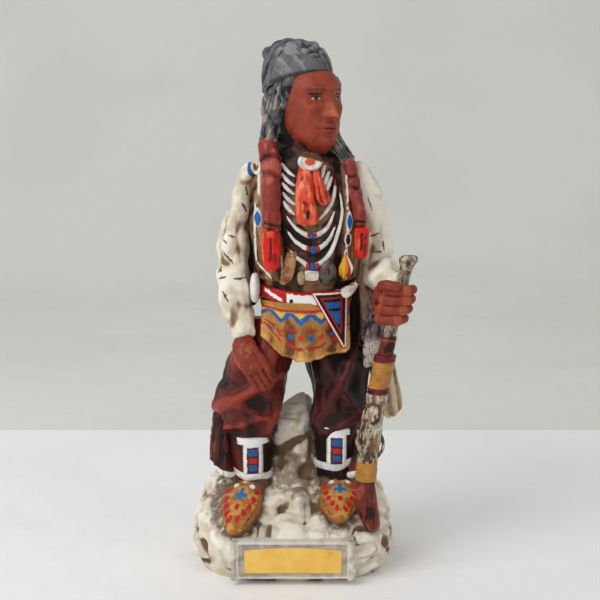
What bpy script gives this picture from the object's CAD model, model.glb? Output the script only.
import bpy
import numpy as np
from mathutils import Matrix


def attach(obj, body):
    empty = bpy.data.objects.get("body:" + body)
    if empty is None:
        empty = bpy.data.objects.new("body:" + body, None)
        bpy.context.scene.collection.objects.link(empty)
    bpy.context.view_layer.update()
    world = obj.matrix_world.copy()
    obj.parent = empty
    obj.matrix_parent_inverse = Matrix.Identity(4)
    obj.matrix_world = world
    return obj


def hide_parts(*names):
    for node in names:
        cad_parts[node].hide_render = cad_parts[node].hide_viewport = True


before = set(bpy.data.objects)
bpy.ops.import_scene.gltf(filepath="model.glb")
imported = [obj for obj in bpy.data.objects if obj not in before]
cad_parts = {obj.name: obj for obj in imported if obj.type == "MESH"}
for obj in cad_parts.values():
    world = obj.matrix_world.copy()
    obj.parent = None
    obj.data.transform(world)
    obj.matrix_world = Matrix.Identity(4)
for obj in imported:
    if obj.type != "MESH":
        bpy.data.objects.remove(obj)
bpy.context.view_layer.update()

# A figural liquor decanter: a slip-cast porcelain figure of a standing man in painted hide clothes, on a
# rock base, with the top of his hair as the stopper. Lengths are in millimetres until a mesh is made.
# Heights are above the table, -Y is the front, and +X is the viewer's right.

# The table, the cloth behind it and the light.
# The decanter stands on a white cotton cloth. A pale grey cloth starts behind it and sweeps up a wall far
# back,
# so that no view of the decanter is hidden. The light is one large soft window from the left and the open
# room.
METRE = 0.001
WINDOW = ((-0.95, -0.80, 1.20), (0.0, 0.0, 0.16), 0.9, 10.8)
ROOM_LIGHT = 0.60
TABLE_FAR = 301.0
TABLE_HALF = 2200.0
SWEEP_FOOT, SWEEP_ROUND = 950.0, 700.0
MANY, KEPT_SHARE = 90, 0.84


def ink(red, green, blue):
    """A colour as a screen shows it, 0 to 255, turned into the linear values that a shader works with."""
    share = np.array([red, green, blue]) / 255
    linear = np.where(share < 0.04045, share / 12.92, ((share + 0.055) / 1.055) ** 2.4)
    return (*map(float, linear), 1.0)


class Link:
    """A socket of a material's nodes. Sums, products and differences of links add Math nodes."""

    def __init__(self, socket):
        self.socket = socket
        self.tree = socket.id_data

    def node(self, kind, settings, inputs, output=0):
        made = self.tree.nodes.new(kind)
        for key, value in settings.items():
            setattr(made, key, value)
        for key, value in inputs.items():
            if isinstance(value, Link):
                self.tree.links.new(value.socket, made.inputs[key])
            else:
                made.inputs[key].default_value = value
        return Link(made.outputs[output])

    def maths(self, operation, one, other=0.0):
        return self.node("ShaderNodeMath", {"operation": operation}, {0: one, 1: other})

    def __add__(self, other):
        return self.maths("ADD", self, other)

    __radd__ = __add__

    def __sub__(self, other):
        return self.maths("SUBTRACT", self, other)

    def __rsub__(self, other):
        return self.maths("SUBTRACT", other, self)

    def __mul__(self, other):
        return self.maths("MULTIPLY", self, other)

    __rmul__ = __mul__

    def __truediv__(self, other):
        return self.maths("DIVIDE", self, other)

    def __abs__(self):
        return self.maths("ABSOLUTE", self)

    def least(self, other):
        return self.maths("MINIMUM", self, other)

    def most(self, other):
        return self.maths("MAXIMUM", self, other)

    def rise(self, low, high):
        """0 below low, 1 above high, and a smooth step between them. It falls if low is over high."""
        return self.node("ShaderNodeMapRange", {"interpolation_type": "SMOOTHSTEP"},
                         {0: self, 1: low, 2: high, 3: 0.0, 4: 1.0})


def coat(colour, under, share):
    """A flat colour laid over a link's colour, by a share."""
    return share.node("ShaderNodeMix", {"data_type": "RGBA"}, {0: share, 6: under, 7: colour}, 2)


def grain(place, size, detail=3.0):
    """Cloudy noise from 0 to 1, with patches about that many millimetres across."""
    return place.node("ShaderNodeTexNoise", {}, {"Vector": place, "Scale": 1 / size, "Detail": detail}, 0)


def new_finish(name):
    """An empty material, and its Object coordinates in millimetres."""
    made = bpy.data.materials.new(name)
    made.use_nodes = True
    made.node_tree.nodes.remove(made.node_tree.nodes["Principled BSDF"])
    corner = Link(made.node_tree.nodes.new("ShaderNodeTexCoord").outputs["Object"])
    place = corner.node("ShaderNodeVectorMath", {"operation": "SCALE"}, {0: corner, "Scale": 1 / METRE})
    return made, place


def close_finish(made, colour, roughness, height, depth, **fixed):
    """Ends a material in one shader, with a height in millimetres that bumps its surface."""
    bump = height.node("ShaderNodeBump", {}, {"Height": height, "Distance": depth * METRE, "Strength": 1.0})
    sockets = {"Base Color": colour, "Roughness": roughness, "Normal": bump}
    sockets.update({key.replace("_", " "): value for key, value in fixed.items()})
    shader = height.node("ShaderNodeBsdfPrincipled", {}, sockets)
    out = made.node_tree.nodes["Material Output"]
    made.node_tree.links.new(shader.socket, out.inputs["Surface"])
    return made


def cloth(name, tone, drape):
    """Plain woven cotton: one tone, faint wide drape shadows, and a fine weave in the bump."""
    made, place = new_finish(name)
    drapes = grain(place, 260.0, 2.0)
    colour = coat(ink(*(v * drape for v in tone)), ink(*tone), drapes.rise(0.42, 0.62))
    weave = grain(place, 1.2, 1.0) * 0.2 + grain(place, 90.0, 4.0) * 6.0
    return close_finish(made, colour, 0.95, weave, 1.0, Specular_IOR_Level=0.1)


def backdrop(name, profile, material):
    """A cloth as wide as the table, along a profile of points: how far back, and how high."""
    mesh = bpy.data.meshes.new(name)
    corners = [(side * METRE, back * METRE, up * METRE) for back, up in profile
               for side in (-TABLE_HALF, TABLE_HALF)]
    mesh.from_pydata(corners, [], [(i, i + 1, i + 3, i + 2) for i in range(0, len(corners) - 2, 2)])
    mesh.shade_smooth()
    mesh.materials.append(material)
    piece = bpy.data.objects.new(name, mesh)
    bpy.context.scene.collection.objects.link(piece)


backdrop("table_cloth", [(-TABLE_HALF, 0), (TABLE_FAR, 0)], cloth("white_cotton", (254, 253, 252), 0.985))
bend = [(SWEEP_FOOT + SWEEP_ROUND * float(np.sin(turn)), SWEEP_ROUND * float(1 - np.cos(turn)))
        for turn in np.linspace(0, np.pi / 2, 24)]
backdrop("wall_cloth", [(TABLE_FAR, 0), *bend, (SWEEP_FOOT + SWEEP_ROUND, TABLE_HALF)],
         cloth("grey_cotton", (234, 234, 228), 0.982))

camera = bpy.data.objects.new("camera", bpy.data.cameras.new("camera"))
camera.data.lens, camera.data.sensor_width = 72.0, 36.0
camera.location = (0.0045, -0.781, 0.314)
camera.rotation_euler = (np.radians(80.0), 0.0, 0.0)
bpy.context.scene.collection.objects.link(camera)
bpy.context.scene.camera = camera

window = bpy.data.objects.new("window", bpy.data.lights.new("window", "AREA"))
window.data.size, window.data.energy = WINDOW[2:]
window.location = WINDOW[0]
aim = np.array(WINDOW[1]) - np.array(WINDOW[0])
window.rotation_euler = (np.arctan2(np.hypot(aim[0], aim[1]), -aim[2]), 0.0, np.arctan2(-aim[0], aim[1]))
bpy.context.scene.collection.objects.link(window)
bpy.context.scene.world = bpy.data.worlds.new("room")
bpy.context.scene.world.use_nodes = True
room = bpy.context.scene.world.node_tree.nodes["Background"]
room.inputs["Color"].default_value = ink(252, 252, 253)
room.inputs["Strength"].default_value = ROOM_LIGHT
bpy.context.scene.view_settings.view_transform = "Standard"

# Rock base, with the pillar of rock between the legs.
# Slip-cast porcelain, hollow, left ivory like bisque, with a brown wash that is wiped off so that it
# stays in the pits and cracks. The pillar is cast with it, and the figure is luted on top.
BASE = (134.0, 106.0, 52.0)
BASE_SHARES = [(0.00, 0.0, 0.00, 0.92, 0.90), (0.16, 0.0, 0.00, 0.99, 0.98), (0.50, 0.0, 0.00, 0.99, 0.98),
               (0.80, 0.0, 0.10, 0.91, 0.74), (1.00, 0.0, 0.16, 0.80, 0.52)]
BASE_CORNER = 2.8
BOULDERS = [(-51, 8, 45, 10.0), (-51, -21, 27, 8.5), (48, 13, 42, 10.5), (-5, -36, 34, 8.5),
            (17, -36, 32, 8.0),
            (3, -21, 47, 8.5), (-29, 40, 36, 10.5), (27, 40, 35, 11.0), (58, -8, 30, 8.0), (-60, 4, 24, 8.0),
            (44, -34, 27, 8.5), (-34, -42, 27, 7.5), (-14, -42, 30, 6.5), (30, -42, 27, 6.5)]
# A hollow in the front of the rock: across, up, half width, half height, lean, depth
BASE_HOLLOWS = [(-6.6, 42.4, 4.5, 3.2, 0.2, 3.2), (4.5, 47.0, 2.6, 1.8, 0.0, 2.0),
                (-2.7, 36.4, 6.0, 1.5, 0.1, 2.0),
                (7.1, 38.5, 1.2, 8.0, 0.0, 2.2), (-15.4, 30.2, 1.6, 5.0, 0.2, 2.2),
                (-59.4, 20.0, 3.0, 4.5, 0.2, 2.4),
                (60.5, 21.0, 3.0, 5.0, -0.3, 2.6), (51.2, 14.0, 4.0, 2.2, 0.4, 2.2),
                (-58.3, 8.0, 3.4, 2.0, 0.3, 2.0),
                (-48.0, 33.0, 4.5, 1.6, 0.6, 2.0), (24.0, 34.0, 1.4, 5.0, 0.1, 2.0),
                (46.0, 31.0, 4.0, 1.6, -0.5, 2.0)]
PILLAR = ((1.0, 10.0, 44.0), (46.0, 40.0, 66.0))
PILLAR_SHARES = [(0.00, 0.00, -0.10, 1.00, 1.20), (0.40, 0.00, -0.04, 0.80, 0.92),
                 (0.78, 0.00, 0.06, 0.60, 0.72), (1.00, 0.12, 0.12, 0.20, 0.30)]
PILLAR_HOLLOWS = [(-2.0, 80.0, 9.0, 4.4, 0.75, 4.5), (7.2, 61.7, 4.6, 4.0, 0.1, 4.0),
                  (-9.0, 66.0, 2.0, 7.0, 0.1, 2.4),
                  (3.5, 96.0, 1.6, 6.0, 0.3, 2.0), (12.0, 78.0, 1.6, 7.0, 0.0, 1.8)]
LATTICE = 32


def eased(rows, at):
    """Smooth rows: a cubic between each row and the next, whose slope at a row is that of its neighbours'
    line."""
    rows = np.asarray(rows, float)
    known, values = rows[:, 0], rows[:, 1:]
    slopes = np.gradient(values, known, axis=0)
    at = np.asarray(at, float)
    low = np.clip(np.searchsorted(known, at) - 1, 0, len(known) - 2)
    step = (known[low + 1] - known[low])[..., None]
    t = np.clip((at[..., None] - known[low][..., None]) / step, 0, 1)
    return (values[low] * (1 + 2 * t) * (1 - t) ** 2 + values[low + 1] * t ** 2 * (3 - 2 * t)
            + step * (slopes[low] * t * (1 - t) ** 2 - slopes[low + 1] * t ** 2 * (1 - t)))


def turns(count):
    """That many angles round a ring, counter-clockwise from above."""
    return np.linspace(0, 2 * np.pi, count, endpoint=False)


def lumps(points, size, seed):
    """Value noise from -1 to 1: random heights on a lattice of that spacing, with a smooth blend between the
    eight nearest ones."""
    heights = np.random.default_rng(seed).uniform(-1, 1, (LATTICE,) * 3)
    cell = points / np.asarray(size, float)
    low = np.floor(cell).astype(int)
    part = cell - low
    part = part * part * (3 - 2 * part)
    total = np.zeros(points.shape[:-1])
    for corner in np.ndindex(2, 2, 2):
        near = (low + corner) % LATTICE
        share = np.prod(np.where(np.array(corner) == 1, part, 1 - part), axis=-1)
        total += heights[near[..., 0], near[..., 1], near[..., 2]] * share
    return total


def rough(points, size, seed, layers=4):
    """Fractal noise: layers of lumps, each half the size and half the height of the last."""
    size = np.asarray(size, float)
    return sum(lumps(points + 11.3 * n, size / 2 ** n, seed + n) / 2 ** n for n in range(layers))


def creased(points, size, seed, layers=3):
    """Ridged noise from 0 in the creases to 1: the absolute height of each layer of lumps."""
    size = np.asarray(size, float)
    total = sum(np.abs(lumps(points + 7.7 * n, size / 2 ** n, seed + n)) / 2 ** n for n in range(layers))
    return np.clip(total * 1.3, 0, 1)


def outward(grid, closed=True):
    """Unit normals of a grid: its slope from column to column, crossed with its slope from row to row."""
    across = np.roll(grid, -1, 1) - np.roll(grid, 1, 1) if closed else np.gradient(grid, axis=1)
    normal = np.cross(across, np.gradient(grid, axis=0))
    return normal / np.maximum(np.linalg.norm(normal, axis=-1, keepdims=True), 1e-9)


def pushed(grid, height, closed=True):
    """The grid, moved along its normals by a height in millimetres at each point."""
    return grid + outward(grid, closed) * height[..., None]


def thinned(grid, marks):
    """A grid with fewer rows and columns where it has many of them, and its marks at the points that are
    left."""
    rows, columns = (np.linspace(0, count - 1, round(count * KEPT_SHARE)
                                 if count >= MANY else count).round().astype(int)
                     for count in grid.shape[:2])
    return grid[rows][:, columns], {key: np.broadcast_to(mark, grid.shape[:2])[rows][:, columns]
                                    for key, mark in marks.items()}


def patch(grid, closed=True, ends=(True, True), thin=True, **marks):
    """A grid's points and faces. A closed grid joins its last column to its first, and an end that is shut
    gets a middle point. Marks are values at each point, which the materials read."""
    if thin:
        grid, marks = thinned(grid, marks)
    rows, columns = grid.shape[:2]
    index = np.arange(rows * columns).reshape(rows, columns)
    left = index if closed else index[:, :-1]
    right = np.roll(index, -1, axis=1) if closed else index[:, 1:]
    quads = np.stack([left[:-1], right[:-1], right[1:], left[1:]], axis=-1).reshape(-1, 4)
    points, faces = [grid.reshape(-1, 3)], [quads.tolist()]
    values = {key: [np.broadcast_to(mark, (rows, columns)).ravel()] for key, mark in marks.items()}
    middle = rows * columns
    for shut, row, first, second in ((ends[0], 0, right, left), (ends[1], -1, left, right)):
        if not shut:
            continue
        points.append(grid[row].mean(0)[None])
        fan = np.stack([np.full(first[row].shape, middle), first[row], second[row]], axis=-1)
        faces.append(fan.tolist())
        for key, mark in marks.items():
            values[key].append(np.broadcast_to(mark, (rows, columns))[row].mean()[None])
        middle += 1
    return np.concatenate(points), sum(faces, []), {key: np.concatenate(v) for key, v in values.items()}


def slab(outer, inner, **marks):
    """A closed sheet between two open grids: each row is a loop, out along one and back along the other,
    and a strip closes the first row and the last."""
    inner, _ = thinned(inner, {})
    outer, marks = thinned(outer, marks)
    count = outer.shape[1]
    loop = np.concatenate([outer, inner[:, ::-1]], axis=1)
    full = {key: np.concatenate([mark, mark[:, ::-1]], axis=1) for key, mark in marks.items()}
    points, faces, values = patch(loop, True, (False, False), False, **full)
    near = np.arange(count - 1)
    far = 2 * count - 1 - near
    last = (outer.shape[0] - 1) * 2 * count
    low = np.stack([near + 1, near, far, far - 1], axis=-1)
    high = np.stack([near, near + 1, far - 1, far], axis=-1) + last
    return points, faces + low.tolist() + high.tolist(), values


def make(name, patches, finish, slot, *nodes, body="bottle"):
    """One piece from its patches, with every mark that they carry, riding on its body in place of its
    nodes."""
    points, faces, start = [], [], 0
    marks = sorted({key for _, _, values in patches for key in values})
    values = {key: [] for key in marks}
    for at, corners, own in patches:
        points.append(at)
        faces += [[corner + start for corner in face] for face in corners]
        start += len(at)
        for key in marks:
            values[key].append(own.get(key, np.zeros(len(at))))
    mesh = bpy.data.meshes.new(name)
    mesh.from_pydata((np.concatenate(points) * METRE).tolist(), [], faces)
    for key in marks:
        mesh.attributes.new(key, "FLOAT", "POINT").data.foreach_set("value", np.concatenate(values[key]))
    mesh.shade_smooth()
    mesh.materials.append(finish)
    piece = bpy.data.objects.new(name, mesh)
    bpy.context.scene.collection.objects.link(piece)
    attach(piece, body)
    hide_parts(*nodes)


def mark(place, name):
    """A value that the mesh carries at each of its points."""
    return place.node("ShaderNodeAttribute", {"attribute_name": name}, {}, 2)


def axes(place, shake=0.0, size=4.0):
    """Across, back and up as links in millimetres, shaken a little as a brush in the hand is."""
    if shake:
        noise = place.node("ShaderNodeTexNoise", {}, {"Vector": place, "Scale": 1 / size, "Detail": 2.0}, 1)
        middle = noise.node("ShaderNodeVectorMath", {"operation": "SUBTRACT"}, {0: noise, 1: (0.5, 0.5, 0.5)})
        shift = noise.node("ShaderNodeVectorMath", {"operation": "SCALE"}, {0: middle, "Scale": 2 * shake})
        place = noise.node("ShaderNodeVectorMath", {"operation": "ADD"}, {0: place, 1: shift})
    return [place.node("ShaderNodeSeparateXYZ", {}, {0: place}, n) for n in range(3)]


def antiqued(name, paint, wash, rubbed, decorate=None, wash_at=0.38, rub_at=0.66, matt=0.55, tooth=0.05,
             patchy=6.0):
    """Cold paint over bisque: a patchy coat, a dark wash where the relief is low, a paler dry brush where
    it is high, and then any decoration."""
    made, place = new_finish(name)
    relief = mark(place, "relief")
    cloudy, fine = grain(place, patchy, 4.0), grain(place, 0.9, 3.0)
    colour = coat(ink(*paint), ink(*(0.88 * v for v in paint)), cloudy.rise(0.35, 0.65))
    level = relief + (cloudy - 0.5) * 0.16 + (fine - 0.5) * 0.10
    dark = level.rise(wash_at, wash_at - 0.26)
    colour = coat(ink(*wash), colour, dark * 0.94)
    colour = coat(ink(*rubbed), colour, level.rise(rub_at, rub_at + 0.26) * 0.75)
    if decorate:
        colour = decorate(place, colour)
    gloss = matt + (cloudy - 0.5) * 0.18 + dark * 0.12
    return close_finish(made, colour, gloss, fine + cloudy * 2, tooth, Specular_IOR_Level=0.26)


def hollows(points, places):
    """Depths of leaning oval hollows in the front: each a bell of its distance from the middle, over its
    size."""
    depth = np.zeros(points.shape[:-1])
    for x, z, wide, tall, lean, deep in places:
        across, up = points[..., 0] - x, points[..., 2] - z
        near = np.exp(-((across - up * lean) / wide) ** 2 - ((up - across * lean * 0.5) / tall) ** 2)
        depth += deep * near * (points[..., 1] < 12)
    return depth


def level_of(height):
    """A height map scaled to 0 for its lowest points and 1 for its highest, leaving out the extreme ones."""
    low, high = np.percentile(height, [3, 97])
    return np.clip((height - low) / (high - low), 0, 1)


def cast(grid, height):
    """A patch of a grid that is moved along its normals by a height, which its material reads as its
    relief."""
    return patch(pushed(grid, height), relief=level_of(height))


def boulder_push(points, normal, boulders):
    """How far each point goes along its normal to come out of any boulder that it is inside of."""
    push = np.zeros(points.shape[:-1])
    for x, y, z, radius in boulders:
        away = points - np.array([x, y, z])
        along = (away * normal).sum(-1)
        inside = along ** 2 - (away ** 2).sum(-1) + radius ** 2
        push = np.maximum(push, np.where(inside > 0, np.sqrt(np.maximum(inside, 0)) - along, 0))
    return push


def rock_relief(points, seed, strength=1.0):
    """Weathered rock: wide ridged facets, smooth lumps on them, and clefts and pits cut sharply into them."""
    facets = creased(points, (27, 24, 17), seed, 2)
    small = rough(points, (9, 9, 7), seed + 20, 2)
    cleft = (np.exp(-(lumps(points, (15, 15, 10), seed + 60) / 0.10) ** 2)
             * np.clip(lumps(points, 21, seed + 70) * 2.5, 0, 1))
    pits = np.clip(lumps(points, (5.5, 5.5, 4.0), seed + 40) - 0.45, 0, 1)
    tooth = 0.10 * rough(points, 2.2, seed + 80, 2)
    return strength * (3.2 * (facets - 0.45) + 0.5 * small - 3.0 * pits - 1.7 * cleft + tooth)


def base_grid():
    """Rounded-cornered rings up the slope of the base, then shrinking ones over its top, and under its
    foot."""
    angle = turns(380)
    side = eased(BASE_SHARES, np.linspace(0, 1, 120))
    shrink = np.cos(np.linspace(0, np.pi / 2, 60))[1:-1, None]
    corner = 2 / BASE_CORNER
    x = np.sign(np.cos(angle)) * np.abs(np.cos(angle)) ** corner / 2
    y = np.sign(np.sin(angle)) * np.abs(np.sin(angle)) ** corner / 2
    up = np.linspace(0, 1, 120)[:, None] * BASE[2]
    wall = np.stack([BASE[0] * side[:, 2:3] * x, BASE[1] * (side[:, 1:2] + side[:, 3:4] * y), up + 0 * x], -1)
    middle = np.array([0, BASE[1] * BASE_SHARES[-1][2], BASE[2]])
    top = middle + (wall[-1] - middle) * shrink[..., None] + np.array([0, 0, 1.5]) * (1 - shrink[..., None])
    foot = wall[0] * np.array([1, 1, 0]) * np.linspace(0.04, 0.96, 8)[:, None, None]
    return np.concatenate([foot, wall, top])


rock = base_grid()
calm = np.clip(rock[..., 2] / 7, 0, 1)
behind_plaque = np.clip((np.abs(rock[..., 0]) - 40) / 5, 0, 1)
behind_plaque = np.maximum(behind_plaque, np.clip((rock[..., 2] - 27) / 4, 0, 1))
behind_plaque = np.maximum(behind_plaque, np.clip((rock[..., 1] + 30) / 8, 0, 1))
normals = outward(rock)
chips = rock_relief(rock, 5) - hollows(rock, BASE_HOLLOWS)
swell = boulder_push(rock, normals, BOULDERS)
rise = (chips + swell * 0.8) * calm * behind_plaque
rock_top = np.clip((rock[..., 2] - 51) / 2, 0, 1)
rise = rise * (1 - 0.55 * rock_top)
BASE_INK = ((234, 223, 200), (100, 72, 50), (251, 246, 234))


def ground_wash(place, colour):
    """The trodden ground round each foot and the two sides of the pillar, which keep more of the wash."""
    x, _, z = axes(place, 5.0, 7.0)
    around = [((x - at) * (x - at) / wide ** 2 + (z - up) * (z - up) / tall ** 2).rise(1.15, 0.7)
              for at, up, wide, tall in ((-37.0, 43.0, 19.0, 17.0), (32.0, 46.0, 19.0, 14.0),
                                         (1.0, 62.0, 26.0, 13.0))]
    sides = (abs(x - 1) - 11).rise(-1, 2) * z.rise(54, 58) * z.rise(112, 100)
    soil = grain(place, 5.0, 5.0).rise(0.30, 0.50)
    return coat(ink(112, 88, 68), colour,
                around[0].most(around[1]).most(around[2] * 0.8).most(sides) * soil * 0.9)


rock_finish = antiqued("washed_bisque", *BASE_INK, ground_wash, wash_at=0.43, rub_at=0.7, matt=0.66,
                       tooth=0.08)
make("rock_base_cast", [patch(rock + normals * rise[..., None], relief=level_of(chips) * 0.85 + 0.1)],
     rock_finish, "rock", "rock_base")


def oval_at(place, size, shares, proud, angle):
    """Across and back at each angle of an ellipse that stands proud of a form. Its middle, width and depth
    are shares of the form's size."""
    across, back, width, depth = shares
    return (place[0] + size[0] * across + (size[0] * width / 2 + proud) * np.cos(angle),
            place[1] + size[1] * back + (size[1] * depth / 2 + proud) * np.sin(angle))


def column(place, size, shares, rows, columns):
    """Level ellipses up a form: the middle, width and depth of each are smooth shares of the form's size."""
    known = np.asarray(shares, float)
    up = np.linspace(known[0, 0], known[-1, 0], rows)
    x, y = oval_at(place, size, eased(known, up).T[:, :, None], 0.0, turns(columns))
    return np.stack([x, y, place[2] + size[2] * up[:, None] + 0 * x], -1)


def tapered(t, low, high):
    """The width left at each share of a length whose ends are drawn in, each over its own share, as a quarter
    circle draws in."""
    narrow = np.ones_like(t)
    for share, near in ((low, t), (high, 1 - t)):
        if share:
            narrow = narrow * np.sqrt(1 - np.clip(1 - near / share, 0, 0.999) ** 2)
    return narrow


def domed(grid, low=0.0, high=0.0):
    """The grid with its first and last rows drawn in to a point, each over a share of its length."""
    middle = grid.mean(1, keepdims=True)
    return middle + (grid - middle) * tapered(np.linspace(0, 1, len(grid))[:, None, None], low, high)


pillar = domed(column(*PILLAR, PILLAR_SHARES, 170, 220), high=0.10)
chips = rock_relief(pillar, 61, 0.9) - hollows(pillar, PILLAR_HOLLOWS)
make("rock_pillar_cast", [patch(pushed(pillar, chips), relief=level_of(chips) * 0.85 + 0.1)],
     rock_finish, "rock", "rock_pillar")

# Scroll plaque on the front of the base, and its paper label.
# The plaque is cast with the rock: a slab with a raised rim and an edge rolled up at each end, washed grey-
# brown.
# The label is gold foil paper with an arched top, glued in the recess and left bare.
PLAQUE_WIDE, PLAQUE_TALL, PLAQUE_LOW = 78.0, 25.0, 4.5
PLAQUE_FACE = -BASE[1] / 2 - 3.0
PLAQUE_ROLL, PLAQUE_RIM, PLAQUE_RECESS = 2.4, 1.8, 0.8


def plaque_panel():
    """A sheet over the front of the slab: it stands back in the recess, and falls away round the outside."""
    x = np.linspace(-PLAQUE_WIDE / 2, PLAQUE_WIDE / 2, 220)
    z = np.linspace(PLAQUE_LOW, PLAQUE_LOW + PLAQUE_TALL, 80)[:, None]
    x, z = np.broadcast_arrays(x, z)
    in_x = PLAQUE_WIDE / 2 - PLAQUE_ROLL - PLAQUE_RIM - np.abs(x)
    in_z = PLAQUE_TALL / 2 - PLAQUE_RIM - np.abs(z - PLAQUE_LOW - PLAQUE_TALL / 2)
    inside = np.clip(np.minimum(in_x, in_z) / 0.8 + 0.5, 0, 1)
    sunk = inside * inside * (3 - 2 * inside)
    edge = np.clip((in_z + PLAQUE_RIM) / 1.2, 0, 1)
    y = PLAQUE_FACE + PLAQUE_RECESS * sunk + 1.2 * (1 - np.sqrt(1 - (1 - edge) ** 2))
    wear = rough(np.stack([x, y * 0, z], -1), 6, 90)
    return np.stack([x, y + 0.18 * wear, z], -1), (1 - sunk) * 0.6 + 0.25 + 0.18 * wear


def plaque_roll(side):
    """The rolled edge: an upright round whose radius grows once round, with a spiral sunk in each end."""
    angle = turns(72)
    up = np.linspace(0, 1, 60)[:, None]
    radius = PLAQUE_ROLL * (0.94 + 0.10 * ((side * angle / (2 * np.pi)) % 1)) + 0 * up
    z = PLAQUE_LOW - 0.6 + (PLAQUE_TALL + 1.2) * up + 0 * angle
    middle = np.array([side * (PLAQUE_WIDE / 2 - 1.4), PLAQUE_FACE + PLAQUE_ROLL / 2 + 0.4])
    wall = np.stack([middle[0] + radius * np.cos(angle), middle[1] + radius * np.sin(angle), z], -1)
    ends = []
    for row, sign in ((wall[0], -1), (wall[-1], 1)):
        share = np.linspace(0.96, 0.05, 14)[:, None]
        sink = 1.1 * np.abs(np.sin(2.5 * np.pi * share + side * angle / 2)) * (1 - share) ** 0.3
        x, y = (middle[n] + (row[:, n] - middle[n]) * share for n in (0, 1))
        ends.append(np.stack([x, y, row[:, 2] + sign * (0.5 * (1 - share) - sink)], -1))
    grid = np.concatenate([ends[0][::-1], wall, ends[1]])
    wear = rough(grid, 5, 91)
    return patch(pushed(grid, 0.25 * wear), relief=0.66 + 0.3 * wear)


panel, panel_relief = plaque_panel()
behind = panel * np.array([1, 0, 1]) + np.array([0, -38.0, 0])
plaque_finish = antiqued("washed_taupe", (198, 188, 174), (154, 142, 130), (232, 226, 214), wash_at=0.34,
                         rub_at=0.56, matt=0.6, tooth=0.06)
make("scroll_plaque_cast", [slab(panel, behind, relief=panel_relief), plaque_roll(-1), plaque_roll(1)],
     plaque_finish, "plaque", "scroll_plaque")


def foil_paper():
    """Gold foil paper: a soft metallic yellow with a fine tooth, duller and browner in patches."""
    made, place = new_finish("gold_foil_paper")
    fibre, patches = grain(place, 0.7, 3.0), grain(place, 14.0, 4.0)
    colour = coat(ink(246, 192, 86), ink(252, 208, 104), patches.rise(0.35, 0.65))
    colour = coat(ink(214, 156, 60), colour, (patches + fibre * 0.3).rise(0.78, 0.9) * 0.6)
    return close_finish(made, colour, 0.42 + fibre * 0.15, fibre + patches * 4, 0.03, Metallic=0.1)


def label_sheet():
    """The label's outline, with its corners rounded and its top arched, as thin as paper."""
    half, tall, arch = 31.0, 17.0, 1.8
    x = np.sin(np.linspace(-np.pi / 2, np.pi / 2, 120)) * half
    t = np.linspace(0, 1, 24)[:, None]
    corner = 0.9 * (1 - np.sqrt(1 - np.clip((np.abs(x) - half + 0.9) / 0.9, 0, 1) ** 2))
    middle = PLAQUE_LOW + PLAQUE_TALL / 2
    low, high = middle - tall / 2 + corner, middle + tall / 2 - arch * (x / half) ** 2 - corner
    z = low + (high - low) * t
    curl = 0.10 * np.abs(x / half) ** 8 + 0.05 * lumps(np.stack([x + 0 * z, 0 * z, z], -1), 9, 92)
    return np.stack([x + 0 * z, PLAQUE_FACE + 0.42 - curl, z], -1)


paper = label_sheet()
make("label_paper", [slab(paper, paper + np.array([0, 0.38, 0]))], foil_paper(), "label", "label")

# Leggings, with the beaded border at their feet and the leaf of fringe down the outer side.
# Cast hollow and painted dark red-brown, with black left in the creases of the hide and a brighter red
# brushed over the folds. The borders are raised in the mould and picked out in white enamel, blue and red.
LEG = ((44.0, 40.0, 106.0), -4.0, 58.0)
LEG_X = {"right": -28.0, "left": 30.0}
LEG_SHARES = {
    "right": [(0.00, -0.02, 0.02, 0.62, 0.72), (0.28, -0.04, -0.02, 0.76, 0.88),
              (0.54, 0.00, -0.09, 0.99, 1.00),
              (0.78, 0.16, -0.03, 0.92, 1.00), (1.00, 0.36, 0.06, 0.56, 0.72)],
    "left": [(0.00, 0.00, 0.02, 0.64, 0.70), (0.28, 0.01, -0.01, 0.71, 0.85), (0.56, 0.03, -0.04, 0.82, 0.94),
             (0.78, -0.05, 0.00, 0.87, 0.98), (1.00, -0.25, 0.06, 0.54, 0.72)],
}
# A long fold: a point on it across, up, how far it leans over per millimetre up, width, length, height
LEG_FOLDS = {
    "right": [(-40, 112, 1.4, 3.2, 14, 2.4), (-26, 122, 1.8, 3.0, 16, 2.6), (-34, 98, 2.4, 2.6, 12, 2.0),
              (-22, 104, -1.6, 2.6, 12, 1.8), (-18, 136, 0.7, 3.4, 18, 2.2), (-34, 140, 0.4, 3.6, 18, 2.0),
              (-44, 92, 0.6, 2.6, 12, 1.8), (-20, 90, 0.5, 2.2, 10, 1.4)],
    "left": [(26, 118, 0.5, 3.2, 20, 2.2), (38, 112, -0.5, 3.2, 18, 2.2), (30, 96, 1.6, 2.6, 12, 1.8),
             (22, 140, -0.4, 3.2, 18, 2.0), (36, 136, 0.3, 3.0, 14, 2.0), (40, 96, 0.4, 2.4, 10, 1.6),
             (24, 88, -0.8, 2.2, 9, 1.4)],
}
HEM_TOP, BAND_TOP, BAR_TOP = 63.0, 83.5, 88.5
LIFT = {"right": 0.0, "left": 7.0}
HEM_RISE = {"right": 6.0, "left": 9.0}
TRIM_X = {"right": -26.5, "left": 28.6}


def folded(points, folds, seed):
    """Folds in hide: a rounded ridge along each long fold, over creases drawn out along the limb."""
    height = np.zeros(points.shape[:-1])
    for x, z, lean, wide, long, tall in folds:
        up = points[..., 2] - z
        across = (points[..., 0] - x - up * lean) / np.hypot(1, lean)
        height += tall * np.exp(-(across / wide) ** 2 - (up * np.hypot(1, lean) / long / 1.6) ** 2)
    wide = creased(points, (17, 17, 27), seed, 2) - 0.45
    small = creased(points, (8, 8, 15), seed + 5, 1) - 0.5
    return height * 1.25 + 3.6 * wide + 1.2 * small + 0.12 * rough(points, 3.4, seed + 9)


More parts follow.
